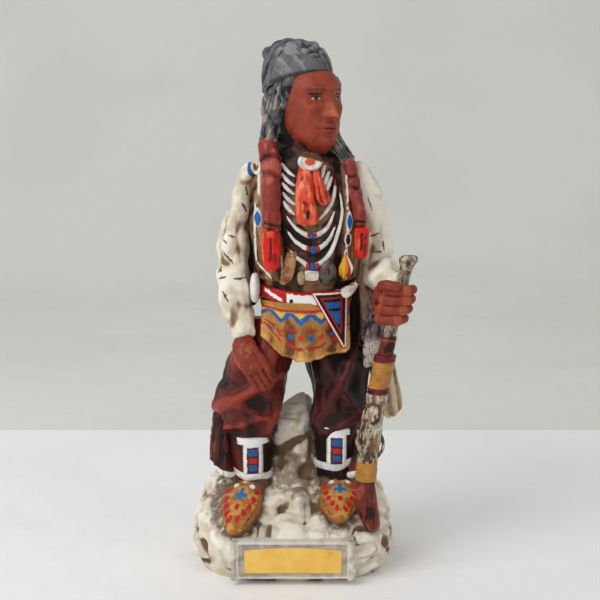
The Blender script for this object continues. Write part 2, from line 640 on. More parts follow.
def legging(side):
    """A column of ellipses with folds pushed out of it, calmer behind the border at its foot."""
    form = column((LEG_X[side], LEG[1], LEG[2]), LEG[0], LEG_SHARES[side], 230, 200)
    folds = folded(form, LEG_FOLDS[side], 17 if side == "right" else 29)
    calm = 0.25 + 0.75 * np.clip((form[..., 2] - 84) / 12, 0, 1)
    return patch(pushed(form, folds * calm), relief=level_of(folds) * (0.4 + 0.6 * calm) + 0.12)


LEGGING_LOOK = {"wash_at": 0.46, "rub_at": 0.66, "matt": 0.40, "tooth": 0.05}
legging_finish = {
    "right": antiqued("red_brown_hide", (98, 34, 26), (30, 12, 10), (158, 62, 44), **LEGGING_LOOK),
    "left": antiqued("dark_maroon_hide", (42, 14, 11), (14, 6, 6), (84, 30, 23), **LEGGING_LOOK),
}
for side in ("right", "left"):
    make("legging_" + side + "_cast", [legging(side)], legging_finish[side], "legging", "legging_" + side)


def in_front(shares, place, size, x, z, proud):
    """The point at (x, z) on the front of a column of ellipses that stands a little proud."""
    across, back, width, depth = np.moveaxis(eased(shares, (z - place[2]) / size[2]), -1, 0)
    wide, deep = size[0] * width / 2 + proud, size[1] * depth / 2 + proud
    off = np.clip((x - place[0] - size[0] * across) / wide, -0.995, 0.995)
    return np.stack([x, place[1] + size[1] * back - deep * np.sqrt(1 - off ** 2), z], -1)


def border(side):
    """A T of raised band, as a sheet that widens over its top bar, and a round hem under it."""
    leg, lift = ((LEG_X[side], LEG[1], LEG[2]), LEG[0]), LIFT[side]
    z = lift + np.concatenate([np.linspace(HEM_TOP, BAND_TOP, 40),
                               np.linspace(BAND_TOP + 0.2, BAR_TOP, 14)])[:, None]
    half = np.where(z > BAND_TOP + lift, 10.5, 6.6)
    share = np.linspace(-1, 1, 50)
    x, z = np.broadcast_arrays(TRIM_X[side] + half * share, z)
    rim = np.clip((1 - np.abs(share)) * 5, 0, 1) * np.clip((BAR_TOP + lift - z) / 1.2, 0, 1)
    bead = 0.28 * np.sin(z * 2 * np.pi / 2.1) * np.clip(np.abs(share) * 6 - 4, 0, 1)
    proud = 0.2 + 1.3 * np.sqrt(np.clip(rim, 0, 1)) + bead
    front = in_front(LEG_SHARES[side], *leg, x, z, proud)
    back = in_front(LEG_SHARES[side], *leg, x, z, -1.2)
    sheet = slab(front, back, relief=0.35 + 0.4 * rim, across=share * half, up=z - lift)
    t = np.linspace(0, 2 * np.pi, 20)[:, None]
    shares = eased(LEG_SHARES[side], (lift + 2.3 + 2.5 * np.sin(t[:, 0])) / LEG[0][2]).T[:, :, None]
    angle = turns(160)
    outer = np.clip(np.cos(angle) * (1 if side == "left" else -1), 0, 1)
    wave = 0.5 * np.sin(angle * 5 + 1) + 0.4 * np.sin(angle * 3) + lift + HEM_RISE[side] * outer ** 1.5
    hem = np.stack([*oval_at(*leg, shares, 0.6 + 1.3 * np.cos(t), angle),
                    LEG[2] + 2.3 + 2.6 * np.sin(t) + wave], -1)
    knobs = 0.25 * rough(hem, 2.2, 71)
    return [sheet, patch(pushed(hem, knobs), True, (False, False), relief=0.5 + knobs, across=20, up=0)]


def beadwork(place, colour):
    """White enamel all over, but for the red-brown ground inside the band and the blue and red blocks on
    it."""
    across, up = mark(place, "across"), mark(place, "up")
    shaken = (grain(place, 2.5, 2.0) - 0.5) * 1.4
    off, height = abs(across) + shaken, up + shaken
    ground = off.rise(4.3, 3.6) * height.rise(82.2, 81.2) * height.rise(60, 62)
    colour = coat(ink(86, 30, 26), colour, ground)
    for middle, tall, wide, tone in ((78.0, 2.6, 3.4, (44, 92, 160)), (72.2, 2.0, 3.0, (190, 44, 34)),
                                     (67.0, 2.2, 3.0, (44, 92, 160))):
        block = (abs(height - middle) / tall).most(abs(across) / wide).rise(1.0, 0.8)
        colour = coat(ink(*tone), colour, block)
    return colour


border_finish = antiqued("white_enamel_border", (236, 234, 228), (96, 60, 48), (252, 252, 250), beadwork,
                         wash_at=0.22, rub_at=0.5, matt=0.32)
for side in ("right", "left"):
    make("legging_border_" + side, border(side), border_finish, "beads", "legging_trim_" + side)

FLAP = {"right": (-46.5, 16.0, -1), "left": (41.5, 10.0, 1)}
FLAP_SHARES = [(0.00, 0.00, -0.10, 1.00, 1.00), (0.35, 0.00, 0.00, 1.00, 1.00),
               (0.70, 0.06, 0.06, 0.90, 0.86), (1.00, 0.30, 0.10, 0.40, 0.50)]


def fringe_leaf(side):
    """A leaf of ellipses, cut into long strands by waves round it that wander as they go up."""
    x, wide, sign = FLAP[side]
    shares = [(up, -sign * inward, back, w, d) for up, inward, back, w, d in FLAP_SHARES]
    form = domed(column((x, LEG[1], LEG[2]), (wide, 30.0, 60.0), shares, 150, 200), 0.04, 0.10)
    t = np.linspace(0, 1, 150)[:, None]
    form[..., 2] += 9.0 * np.clip(sign * (form[..., 0] - x) / wide + 0.5, 0, 1) * (1 - t) ** 2
    angle = turns(200) + 0.25 * np.sin(form[..., 2] / 9.0)
    strands = np.abs(np.sin(angle * 10)) ** 0.6
    folds = (0.7 * (strands - 0.6) + 2.0 * (creased(form, (9, 9, 20), 44) - 0.4)
             + 0.9 * np.exp(-((t - 0.05) / 0.03) ** 2))
    return patch(pushed(form, folds), relief=level_of(folds), foot=60 * t)


def hem_paint(place, colour):
    """The white border, where it runs on round the foot of the leaf."""
    foot = mark(place, "foot") + (grain(place, 2.5, 2.0) - 0.5) * 1.4
    return coat(ink(236, 234, 228), colour, foot.rise(4.8, 4.0))


fringe_finish = antiqued("maroon_hide_leaf", (84, 30, 24), (28, 12, 10), (136, 54, 40), hem_paint,
                         **LEGGING_LOOK)
for side in ("right", "left"):
    make("legging_fringe_" + side, [fringe_leaf(side)], fringe_finish, "legging", "legging_flap_" + side)

# Moccasins, lying down the slope of the rock.
# Cast with the base and painted ochre, with a puckered seam round the toe, a stitched sole, and enamel
# beadwork in blue, white and red on the instep.
# Across, turn, length and fall to the toe
FOOT = {"right": (-28.0, -15.0, 46.0, 19.0), "left": (30.0, 2.0, 39.0, 13.0)}
FOOT_WIDE, FOOT_TALL, HEEL_UP = 26.0, 20.0, 52.0


def spun(points, turn):
    """Points turned about the upright axis, counter-clockwise from above."""
    x, y, z = np.moveaxis(points, -1, 0)
    return np.stack([x * np.cos(turn) - y * np.sin(turn), x * np.sin(turn) + y * np.cos(turn), z], -1)


def moccasin(side):
    """Ellipses from heel to toe that are flat below and fuller on the big toe's side, with a sole proud of
    them and a seam round the vamp, and a cuff that stands in the legging."""
    x, turn, long, fall = FOOT[side]
    along = np.sin(np.linspace(-np.pi / 2, np.pi / 2, 150))[:, None] * 0.53 + 0.5
    table = eased([(-0.06, 0.10, 0.20), (0.06, 0.62, 0.90), (0.35, 1.00, 1.04), (0.58, 0.98, 0.86),
                   (0.80, 0.72, 0.62), (0.94, 0.42, 0.42), (1.02, 0.18, 0.20), (1.05, 0.05, 0.05)],
                  np.clip(along[:, 0], -0.06, 1.05))
    angle = turns(150)
    half, tall = (FOOT_WIDE * table[:, :1] / 2), (FOOT_TALL * table[:, 1:] / 2)
    below = np.sin(angle) < 0
    flat = np.where(below, 0.72, 1.0)
    inner = 1 if side == "right" else -1
    shift = inner * 1.6 * np.clip((along - 0.4) * 2, 0, 1)
    across = half * np.sign(np.cos(angle)) * np.abs(np.cos(angle)) ** 0.85 + shift
    sole = 0.9 * np.exp(-((np.sin(angle) + 0.55) / 0.16) ** 2) * np.clip(table[:, :1] * 3, 0, 1)
    up = tall * np.sin(angle) * flat
    seam = np.exp(-((np.abs(np.cos(angle)) - 0.80) / 0.07) ** 2) * (~below) * (along > 0.34) * (along < 0.93)
    pucker = seam * (0.5 + 0.5 * np.sin(along * 150))
    local = np.stack([across + sole * np.sign(np.cos(angle)), -long * along + 0 * angle,
                      up - fall * along], -1)
    creases = 0.9 * (creased(local, (9, 5, 6), 83) - 0.4) + 0.35 * rough(local, 3, 84)
    local = pushed(local, creases + 0.8 * seam + 0.5 * pucker)
    foot = spun(local, np.radians(turn)) + np.array([x, LEG[1], HEEL_UP])
    shoe = patch(foot[:, ::-1], relief=(level_of(creases) * 0.7 + 0.3 - 0.5 * pucker)[:, ::-1],
                 across=across[:, ::-1], along=along * 47.0, height=np.sin(angle)[::-1])
    ankle = column((x, LEG[1], 34.0), (26.0, 26.0, 25.0),
                   [(0, 0, 0, 1, 1), (0.5, 0, 0, 0.98, 0.98), (1, 0, 0, 1, 1)], 40, 90)
    slack = 1.2 * (creased(ankle, (10, 10, 3.5), 85) - 0.4)
    return ([shoe, patch(pushed(ankle, slack), relief=level_of(slack) * 0.6 + 0.2, across=30, along=0,
                         height=0)])


def foot_beads(place, colour):
    """A blue cross and white dots on the instep, red strokes over it, and red dots in a V down to the toe;
    the sides of the heel keep the brown wash of the ground."""
    across, along, height = mark(place, "across"), mark(place, "along"), mark(place, "height")
    shaken = (grain(place, 2.2, 2.0) - 0.5) * 1.6
    top = height.rise(0.05, 0.3)
    side, far = across + shaken, along + shaken
    colour = coat(ink(108, 78, 60), colour, far.rise(25, 13) * abs(side).rise(2.5, 6.0) * 0.9)
    colour = coat(ink(112, 82, 64), colour, top.rise(0.5, 0.2) * 0.8)
    bar = (abs(side) / 1.5).most(abs(far - 24) / 5.0).rise(1.0, 0.75)
    arm = (abs(side) / 4.8).most(abs(far - 25) / 1.7).rise(1.0, 0.75)
    colour = coat(ink(48, 110, 165), colour, bar.most(arm) * top)
    for x, y in ((-5.4, 17.0), (5.4, 17.0), (0.0, 13.5)):
        dot = ((side - x) * (side - x) + (far - y) * (far - y)).rise(4.2, 2.4)
        colour = coat(ink(240, 238, 230), colour, dot * top)
    for x, y in ((-9.2, 20), (9.2, 20), (-9.0, 26), (9.0, 26), (-7.6, 31.5), (7.6, 31.5), (-5.4, 36.5),
                 (5.4, 36.5), (-2.6, 41), (2.6, 41), (0, 33.5), (0, 10), (-4.4, 9), (4.4, 9)):
        dot = ((side - x) * (side - x) + (far - y) * (far - y) * 0.5).rise(3.2, 1.8)
        colour = coat(ink(190, 36, 26), colour, dot * top)
    return colour


moccasin_finish = antiqued("ochre_moccasin", (180, 116, 54), (84, 44, 28), (214, 158, 84), foot_beads,
                           wash_at=0.40, rub_at=0.68, matt=0.5)
for side in ("right", "left"):
    make("moccasin_" + side + "_cast", moccasin(side), moccasin_finish, "moccasin", "moccasin_" + side)

# Torso, and the waistcoat over it.
# The torso is cast hollow and painted dark brown where the chest shows. The waistcoat is modelled over it
# in strips of brown and tan hide, with white bead lines down its edges and enamel ornaments.
TORSO = ((8.0, -3.0, 146.0), (70.0, 50.0, 132.0))
TORSO_SHARES = [(0.00, -0.03, 0.06, 0.70, 0.80), (0.22, 0.00, 0.01, 0.83, 0.96),
                (0.48, 0.01, -0.01, 0.92, 1.00),
                (0.72, 0.02, 0.00, 1.00, 0.95), (0.88, 0.00, 0.03, 0.86, 0.74),
                (1.00, -0.01, 0.05, 0.40, 0.48)]
VEST_OPENING = [(1.10, -0.23, 0.33), (0.60, -0.24, 0.36), (0.45, -0.19, 0.35), (0.30, -0.14, 0.34)]
VEST_LOW, VEST_HIGH, VEST_PROUD = 0.35, 0.95, 2.4


def torso_z(share):
    return TORSO[0][2] + TORSO[1][2] * share


def torso_point(across, back, up):
    """A point given as shares of the torso's width, depth and height."""
    return np.array([TORSO[0][0] + TORSO[1][0] * across, TORSO[0][1] + TORSO[1][1] * back, torso_z(up)])


def tube(path, widths, depths, rows, columns, hint=(1.0, 0.0, 0.0), dome=(0.0, 0.0)):
    """Ellipses square to a smooth line through the points of a path, with their widths towards the hint."""
    path = np.asarray(path, float)
    run = np.concatenate([[0], np.cumsum(np.linalg.norm(np.diff(path, axis=0), axis=1))])
    table = np.column_stack([run / run[-1], path, widths, depths])
    at = 0.5 - 0.5 * np.cos(np.linspace(0, np.pi, rows))
    at = 0.5 * at + 0.5 * np.linspace(0, 1, rows)
    middle, wide, deep = np.split(eased(table, at), [3, 4], axis=1)
    along = np.gradient(middle, axis=0)
    along /= np.linalg.norm(along, axis=1, keepdims=True)
    across = np.asarray(hint) - along * (along @ np.asarray(hint))[:, None]
    across /= np.linalg.norm(across, axis=1, keepdims=True)
    away = np.cross(along, across)
    narrow = tapered(at, *dome)
    angle = turns(columns)
    ring = (across[:, None] * (np.cos(angle)[:, None] * (wide * narrow[:, None] / 2)[:, None])
            + away[:, None] * (np.sin(angle)[:, None] * (deep * narrow[:, None] / 2)[:, None]))
    return middle[:, None] + ring


# The clay that joins each arm to the side: points down it, with a width
WEBS = [[(-26.0, 4.0, 250.0, 9.0), (-28.0, 4.0, 228.0, 12.0), (-29.0, 4.0, 202.0, 13.0),
         (-27.0, 4.0, 172.0, 11.0)],
        [(38.0, 4.0, 198.0, 9.0), (40.0, 4.0, 182.0, 12.0), (40.0, 4.0, 164.0, 12.0),
         (38.0, 4.0, 148.0, 9.0)]]
form = column(*TORSO, TORSO_SHARES, 150, 180)
slack = 1.4 * (creased(form, (16, 16, 22), 101) - 0.45) + 0.4 * rough(form, 5, 102)
torso_finish = antiqued("dark_brown_shirt", (70, 44, 32), (16, 10, 8), (150, 108, 76), wash_at=0.52,
                        rub_at=0.64, matt=0.5)
pieces = [cast(form, slack)]
for points in WEBS:
    *path, wide = np.array(points).T
    web = tube(np.array(path).T, wide, 0.7 * wide, 80, 60, dome=(0.12, 0.12))
    pieces.append(patch(pushed(web, 0.8 * rough(web, 6, 107)), relief=0.25))
make("torso_cast", pieces, torso_finish, "shirt", "torso")


def waistcoat():
    """A sheet round the torso from one edge of its opening to the other, with seams between its strips,
    a bead line raised along each front edge, and a thickness that shows at the hem and armholes."""
    up = np.linspace(VEST_LOW, VEST_HIGH, 170)
    shares = eased(TORSO_SHARES, up).T[:, :, None]
    across, _, width, depth = shares
    edges = eased(sorted(VEST_OPENING), up)
    wide, deep = TORSO[1][0] * width / 2 + VEST_PROUD, TORSO[1][1] * depth / 2 + VEST_PROUD
    start = np.arccos(np.clip((TORSO[1][0] * (edges[:, 1:2] - across)) / wide, -1, 1))
    finish = np.arccos(np.clip((TORSO[1][0] * (edges[:, :1] - across)) / wide, -1, 1))
    share = np.linspace(0, 1, 260)
    angle = -start + share * (2 * np.pi - finish + start)
    z = torso_z(up)[:, None] + 0 * share
    run = (angle + start) * (wide + deep) / 2
    left = (2 * np.pi - finish + start) * (wide + deep) / 2 - run
    edge = np.minimum(run, left)
    probe = np.stack([run, 0 * run, z], -1)
    roll = np.clip(edge / 1.6, 0, 1) ** 0.5 * np.clip((z - z[0]) / 1.5, 0, 1) ** 0.5
    bead = 0.55 * np.exp(-((edge - 1.7) / 0.8) ** 2) + 0.5 * np.exp(-((edge - 6.8) / 0.6) ** 2)
    seams = -0.8 * np.exp(-((edge % 9.0 - 4.5) / 0.8) ** 2)
    hem = 0.7 * np.exp(-((z - z[0] - 2.2) / 1.1) ** 2)
    cloth_folds = 2.0 * (creased(probe, (13, 13, 19), 111) - 0.45) + 0.3 * rough(probe, 3, 112)
    calm = np.clip(edge / 9, 0.25, 1)
    height = VEST_PROUD * roll + bead + seams * calm + hem + cloth_folds * calm * 0.8
    front, back = (np.stack([*oval_at(*TORSO, shares, proud, angle), z], -1) for proud in (height, -1.5))
    return slab(front, back, relief=level_of(cloth_folds + seams) * 0.8 + 0.5 * bead, edge=edge)


def ovals(place, colour, table):
    """Ovals of enamel on a front face, each one over the last: across, up, half width, half height, tone."""
    x, y, z = axes(place, 0.5, 3.0)
    for across, up, wide, tall, tone in table:
        oval = ((x - across) * (x - across) / wide ** 2 + (z - up) * (z - up) / tall ** 2).rise(1.1, 0.8)
        colour = coat(ink(*tone), colour, oval * y.rise(2, -2))
    return colour


# A blue and white ring with a tan middle where the waistcoat meets the right sleeve, and the beads on the
# breast
SHOULDER_RING = [(-26.8, 263.4, 2.8, 5.2, (30, 104, 166)), (-24.0, 264.2, 3.3, 4.8, (238, 236, 230)),
                 (-24.0, 264.6, 1.9, 3.1, (168, 106, 62))]
BREAST_BEADS = [(35.2, 219.4, 2.4, 4.6, (236, 233, 226)), (35.2, 219.4, 1.5, 3.5, (60, 40, 30)),
                (34.0, 209.0, 1.4, 4.6, (236, 233, 226)), (34.2, 208.0, 0.7, 3.4, (186, 40, 32)),
                (42.0, 254.0, 4.0, 1.5, (236, 233, 226))]


def vest_paint(place, colour):
    """White lines at the edges, tan and dark strips between them, and a ring and a bar of beads on the
    breast."""
    x, y, z = axes(place, 0.5, 3.0)
    edge = mark(place, "edge") + (grain(place, 3.0, 2.0) - 0.5) * 1.2
    strip = (edge - 10.0).rise(0, 1) * (edge - 15.0).rise(1, 0)
    colour = coat(ink(176, 136, 96), colour, strip * grain(place, 4.0, 4.0).rise(0.3, 0.55) * 0.8)
    front = y.rise(2, -2)
    side_line = (abs(x + 24.6 - (z - 225) * (z - 225) / 520).rise(0.9, 0.5)
                 * z.rise(203, 206) * z.rise(246, 238))
    hem_line = abs(z - 200.6 + (x + 20) * 0.9).rise(1.1, 0.6) * (x + 23).rise(-1, 1) * x.rise(-13, -15)
    upper = abs(x + 21.8).rise(1.0, 0.6) * z.rise(246, 249) * z.rise(262, 259)
    line = (abs(edge - 1.8)).rise(0.95, 0.55).most(side_line.most(hem_line).most(upper) * front)
    broken = grain(place, 5.0, 2.0).rise(0.30, 0.40)
    colour = coat(ink(236, 233, 226), colour, line * broken)
    return ovals(place, colour, SHOULDER_RING + BREAST_BEADS)


vest_finish = antiqued("brown_hide_waistcoat", (132, 88, 56), (34, 20, 14), (178, 132, 92), vest_paint,
                       wash_at=0.40, rub_at=0.64, matt=0.45)
make("waistcoat_cast", [waistcoat()], vest_finish, "vest", "vest")


def on_torso(x, z, proud):
    """The point at (x, z) on the front of the torso, standing proud of it."""
    return in_front(TORSO_SHARES, *TORSO, x, z, proud)


def bead_diamond(across, up, wide):
    """A lozenge of beads: a pyramid in steps, drawn in front view and laid on the waistcoat."""
    middle = torso_point(across, 0, up)
    angle = turns(64)
    shape = 1 / (np.abs(np.cos(angle)) ** 1.4 + np.abs(np.sin(angle)) ** 1.4) ** (1 / 1.4)
    share = np.linspace(1, 0.03, 26)[:, None]
    x = middle[0] + wide * shape * np.cos(angle) * share
    z = middle[2] + 7.2 * shape * np.sin(angle) * share
    proud = 2.2 + 1.5 * np.sqrt(1 - share ** 2.5) + 0.12 * np.cos(share * 26)
    top = on_torso(x, z, proud)
    grid = np.concatenate([on_torso(x[:1], z[:1], 0.4), top])
    return patch(grid, relief=0.6, across=np.concatenate([share[:1], share]))


def diamond_paint(place, colour):
    ring = mark(place, "across") + (grain(place, 2.0, 2.0) - 0.5) * 0.2
    return coat(ink(22, 104, 176), colour, ring.rise(0.72, 0.66))


diamond_finish = antiqued("bead_diamonds", (238, 236, 230), (110, 70, 50), (252, 252, 250), diamond_paint,
                          wash_at=0.2, rub_at=0.8, matt=0.3)
make("waistcoat_diamonds", [bead_diamond(-0.437, 0.654, 3.5), bead_diamond(0.40, 0.642, 2.4)],
     diamond_finish, "beads", "vest_medallions")

# Waist: belt, buckle, pouch, aprons, knife in its sheath, hip disc and the waistcoat's tails and tassel.
# All are modelled on the casting and enamelled: the belt red and white, the aprons ochre hide with plain
# painted shapes, the sheath red with white stitching.
BELT_UP = 0.28
BELT_LOW = torso_z(BELT_UP) - 4.0
SKIRT_SHARES = [(-0.20, -0.01, -0.08, 0.97, 1.26), (-0.05, -0.01, -0.06, 0.95, 1.22),
                (0.14, 0.00, -0.02, 0.90, 1.12),
                (0.27, 0.00, 0.00, 0.90, 1.08), (0.36, 0.00, 0.00, 0.98, 1.16)]


def girdle():
    """A strap round the torso: its section is a flat oval, and it sags in front as it goes round."""
    angle = turns(260)
    t = np.linspace(0, 2 * np.pi, 28, endpoint=True)[:, None]
    flat = np.sign(np.cos(t)) * np.abs(np.cos(t)) ** 0.6
    tall = np.sign(np.sin(t)) * np.abs(np.sin(t)) ** 0.7
    sag = 3.6 - 4.6 * np.clip(-np.sin(angle), 0, 1) ** 2 + 0.4 * np.sin(3 * angle + 1.0)
    x, y = oval_at(*TORSO, eased(TORSO_SHARES, BELT_UP), 1.8 + 1.7 * flat, angle)
    grid = np.stack([x, y, BELT_LOW + 4.0 + 4.1 * tall + sag], -1)
    wear = rough(grid, 5, 121)
    ridge = 0.35 * np.exp(-((np.abs(tall) - 0.72) / 0.12) ** 2)
    return patch(pushed(grid, 0.35 * wear + ridge), True, (False, False), relief=0.55 + 0.25 * wear,
                 height=tall)


def belt_paint(place, colour):
    """White enamel lines along a red strap, a white run in the middle with a dark stud, and red again
    beyond."""
    x, y, z = axes(place, 0.6, 3.0)
    height = mark(place, "height") + (grain(place, 3.0, 2.0) - 0.5) * 0.6
    front = y.rise(-6, -12)
    streak = abs(height + 0.1 + (x + 12) * 0.10).rise(0.34, 0.20) * x.rise(-6, -8) * x.rise(-19, -17)
    white = streak.most(x.rise(-4.5, -3.5) * x.rise(18, 15) * height.rise(0.72, 0.55)) * front
    colour = coat(ink(240, 238, 232), colour, white)
    colour = coat(ink(24, 18, 16), colour, height.rise(-0.86, -0.94))
    stud = ((x + 1.0) * (x + 1.0) + (z - 180.5) * (z - 180.5) * 0.5).rise(1.6, 0.8)
    colour = coat(ink(40, 26, 22), colour, stud * front)
    return coat(ink(238, 236, 230), colour, abs(height.most(-9.0) - 0.75).rise(0.22, 0.12) * x.rise(14, 18))


belt_finish = antiqued("red_enamel_belt", (186, 26, 26), (60, 12, 12), (216, 62, 48), belt_paint,
                       wash_at=0.26, rub_at=0.8, matt=0.24)
make("belt_strap", [girdle()], belt_finish, "belt", "belt")


def lump(middle, width, depth, height, rows=40, columns=60):
    """An ellipsoid, from its lowest point up."""
    lean = np.linspace(-np.pi / 2 + 0.04, np.pi / 2 - 0.04, rows)[:, None]
    angle = turns(columns)
    return np.asarray(middle) + np.stack([width / 2 * np.cos(lean) * np.cos(angle),
                                          depth / 2 * np.cos(lean) * np.sin(angle),
                                          height / 2 * np.sin(lean) + 0 * angle], -1)


APRON_LONG, APRON_THICK = 37.0, 6.0
# A flute of an apron: radians from side to side, phase, height
APRON_WAVES = [(13.0, 0.6, 1.4), (27.0, 2.0, 0.8)]


def hide_sheet(outline, wide, behind, seed):
    """A sheet that hangs from the belt over the skirt form, in front or behind. Its sides and its lower edge
    follow an outline, its height waves in soft flutes that grow towards the hem, and its hem is rolled."""
    across = np.linspace(-0.5, 0.5, 200)
    down = np.linspace(1, 0, 110)[:, None]
    drop = np.interp(across, *outline)
    wavy = 0.014 * np.sin(across * 19) + 0.008 * np.sin(across * 47)
    z = BELT_LOW + 0.5 - APRON_LONG * down * (drop + wavy)
    x = TORSO[0][0] + wide * across * (1 + 0.02 * down)
    flutes = sum(tall * down ** 1.1 * np.sin(across * pace + phase + 0.7 * down)
                 for pace, phase, tall in APRON_WAVES)
    probe = np.stack([x, 0 * x, z], -1)
    creases = 1.5 * (creased(probe, (9, 9, 14), seed) - 0.45) + 0.4 * rough(probe, 3.5, seed + 4)
    rolled = 0.9 * np.exp(-((down - 0.965) / 0.022) ** 2)
    height = flutes + creases * (0.4 + 0.6 * down) + rolled
    edge = np.clip((0.5 - np.abs(across)) * 24, 0, 1) ** 0.5
    sheets = [in_front(SKIRT_SHARES, *TORSO, x, z, proud) for proud in (edge + height, -APRON_THICK)]
    if behind:
        sheets = [(sheet - [2 * TORSO[0][0], 2 * TORSO[0][1], 0]) * [-1, -1, 1] for sheet in sheets]
    return slab(*sheets, relief=level_of(height) * 0.85 + 0.1, across=across * wide, down=APRON_LONG * down)


# The lower edge of each apron: places across it, and how far down it reaches at each
apron_outline = [(-0.50, -0.46, -0.30, -0.09, 0.20, 0.49, 0.50), (0.60, 0.66, 0.86, 1.00, 0.93, 0.84, 0.80)]
back_outline = [(-0.50, -0.30, 0.00, 0.30, 0.50), (0.78, 0.90, 1.00, 0.90, 0.78)]


def apron_paint(place, colour):
    """Plain traditional shapes in blue, red and yellow: a row of stepped triangles, bars and dots, over a
    broken line of red along the hem, with a brown wash down the middle."""
    across, down = mark(place, "across"), mark(place, "down")
    shaken = (grain(place, 3.0, 2.0) - 0.5) * 2.2
    side, low = across + shaken, down + shaken
    brown = ((abs(across - 2.0) * 0.6 + abs(down - 22) * 0.5).rise(11, 3)
             * grain(place, 6.0, 4.0).rise(0.35, 0.6))
    colour = coat(ink(104, 54, 26), colour, brown * 0.75)
    repeat = side.node("ShaderNodeMath", {"operation": "PINGPONG"}, {0: side + 3.0, 1: 6.5})
    peak = (repeat * 0.9 + low).rise(15.2, 14.2) * low.rise(6.6, 7.4)
    colour = coat(ink(44, 92, 160), colour, peak * low.rise(16, 15))
    inner = (repeat * 0.9 + low).rise(11.4, 10.4) * low.rise(6.6, 7.4)
    colour = coat(ink(226, 184, 60), colour, inner)
    colour = coat(ink(178, 44, 32), colour, abs(low - 5.4).rise(1.0, 0.6))
    colour = coat(ink(178, 44, 32), colour, abs(low - 18.0).rise(1.1, 0.6) * repeat.rise(2.2, 3.4))
    dots = (repeat - 6.5) * (repeat - 6.5) + (low - 22.4) * (low - 22.4)
    colour = coat(ink(44, 92, 160), colour, dots.rise(4.0, 2.6))
    ringed = repeat * repeat + (low - 22.4) * (low - 22.4)
    colour = coat(ink(190, 52, 34), colour, ringed.rise(4.4, 3.0))
    dashes = side.node("ShaderNodeMath", {"operation": "PINGPONG"}, {0: side, 1: 7.0})
    hem = abs(low - 29.5 + across * across * 0.012)
    return coat(ink(176, 44, 30), colour, hem.rise(1.4, 0.8) * dashes.rise(1.2, 1.9))


HIDE_INK = ((192, 136, 66), (92, 48, 24), (226, 178, 104))
apron_finish = antiqued("ochre_painted_hide", *HIDE_INK, apron_paint, wash_at=0.40, rub_at=0.62, matt=0.42)
back_finish = antiqued("ochre_plain_hide", *HIDE_INK, wash_at=0.38, rub_at=0.66, matt=0.5)
make("apron_front_hide", [hide_sheet(apron_outline, 57.0, False, 131)], apron_finish, "apron", "apron_front")
make("apron_back_hide", [hide_sheet(back_outline, 55.0, True, 141)], back_finish, "apron", "apron_back")


SHEATH_LONG, SHEATH_WIDE = 37.0, 25.0


def sheath():
    """A tapering sheet from the belt to the thigh, its edges rolled and a stitch line just inside them."""
    top = BELT_LOW + 8.0
    x_middle = TORSO[0][0] + TORSO[1][0] * 0.22
    down = np.linspace(1, 0, 110)[:, None]
    left = x_middle + SHEATH_WIDE * (-0.50 + 0.83 * down)
    right = x_middle + SHEATH_WIDE * np.interp(down, [0, 0.06, 1], [0.40, 0.50, 0.47])
    share = np.linspace(0, 1, 90)
    x = left + (right - left) * share
    z = top - SHEATH_LONG * down + 0 * share
    edge = np.minimum(np.minimum(share, 1 - share) * (right - left),
                      SHEATH_LONG * np.minimum(down, 1 - down) + 0.3)
    roll = np.clip(edge / 1.2, 0, 1) ** 0.5
    stitch = 0.5 * np.exp(-((edge - 2.6) / 0.5) ** 2) * (0.6 + 0.4 * np.sin(z * 2.6 + x * 1.2))
    probe = np.stack([x, 0 * x, z], -1)
    dents = 0.8 * (creased(probe, (8, 8, 12), 151) - 0.4)
    front = in_front(SKIRT_SHARES, *TORSO, x, z, 1.0 + 2.0 * roll + stitch + dents)
    back = in_front(SKIRT_SHARES, *TORSO, x, z, -1.0)
    return slab(front, back, relief=level_of(dents) * 0.5 + 0.35 + 0.3 * stitch, edge=edge,
                down=SHEATH_LONG * down)


def sheath_paint(place, colour):
    """A white stitch line inside the red edge, then bands of black and red, and two blue patches in the
    middle."""
    edge, down = mark(place, "edge"), mark(place, "down")
    shaken = (grain(place, 2.4, 2.0) - 0.5) * 1.0
    inner = edge + shaken * 0.6
    colour = coat(ink(26, 12, 16), colour, inner.rise(2.2, 2.6) * inner.rise(4.3, 3.9))
    colour = coat(ink(240, 238, 232), colour, abs(inner - 1.5).rise(0.62, 0.34))
    colour = coat(ink(26, 16, 22), colour, inner.rise(5.0, 5.4))
    patches = (abs(down + shaken * 2 - 9.0).rise(2.2, 1.6)).most(abs(down + shaken * 2 - 17.0).rise(4.4, 3.8))
    return coat(ink(20, 98, 172), colour, patches * inner.rise(5.2, 5.8))


sheath_finish = antiqued("red_enamel_sheath", (184, 36, 34), (60, 12, 12), (214, 66, 54), sheath_paint,
                         wash_at=0.24, rub_at=0.85, matt=0.32)
make("knife_sheath_hide", [sheath()], sheath_finish, "belt", "knife_sheath")


def worn_bone(name, paint, wash, matt=0.45):
    return antiqued(name, paint, wash, tuple(min(255, v + 22) for v in paint), wash_at=0.34, rub_at=0.64,
                    matt=matt)


grip = [torso_point(0.32, -0.535, 0.298), torso_point(0.37, -0.51, 0.306), torso_point(0.42, -0.45, 0.322),
        torso_point(0.47, -0.38, 0.340)]
handle = tube(grip, [5.0, 6.8, 5.6, 3.0], [4.4, 5.4, 4.6, 3.0], 80, 48, (0, 0, 1), (0.16, 0.12))
carved = 0.3 * rough(handle, (6, 6, 4), 161, 2)
make("knife_handle_bone", [cast(handle, carved)],
     worn_bone("knife_bone", (232, 226, 214), (128, 96, 74)), "beads", "knife_handle")

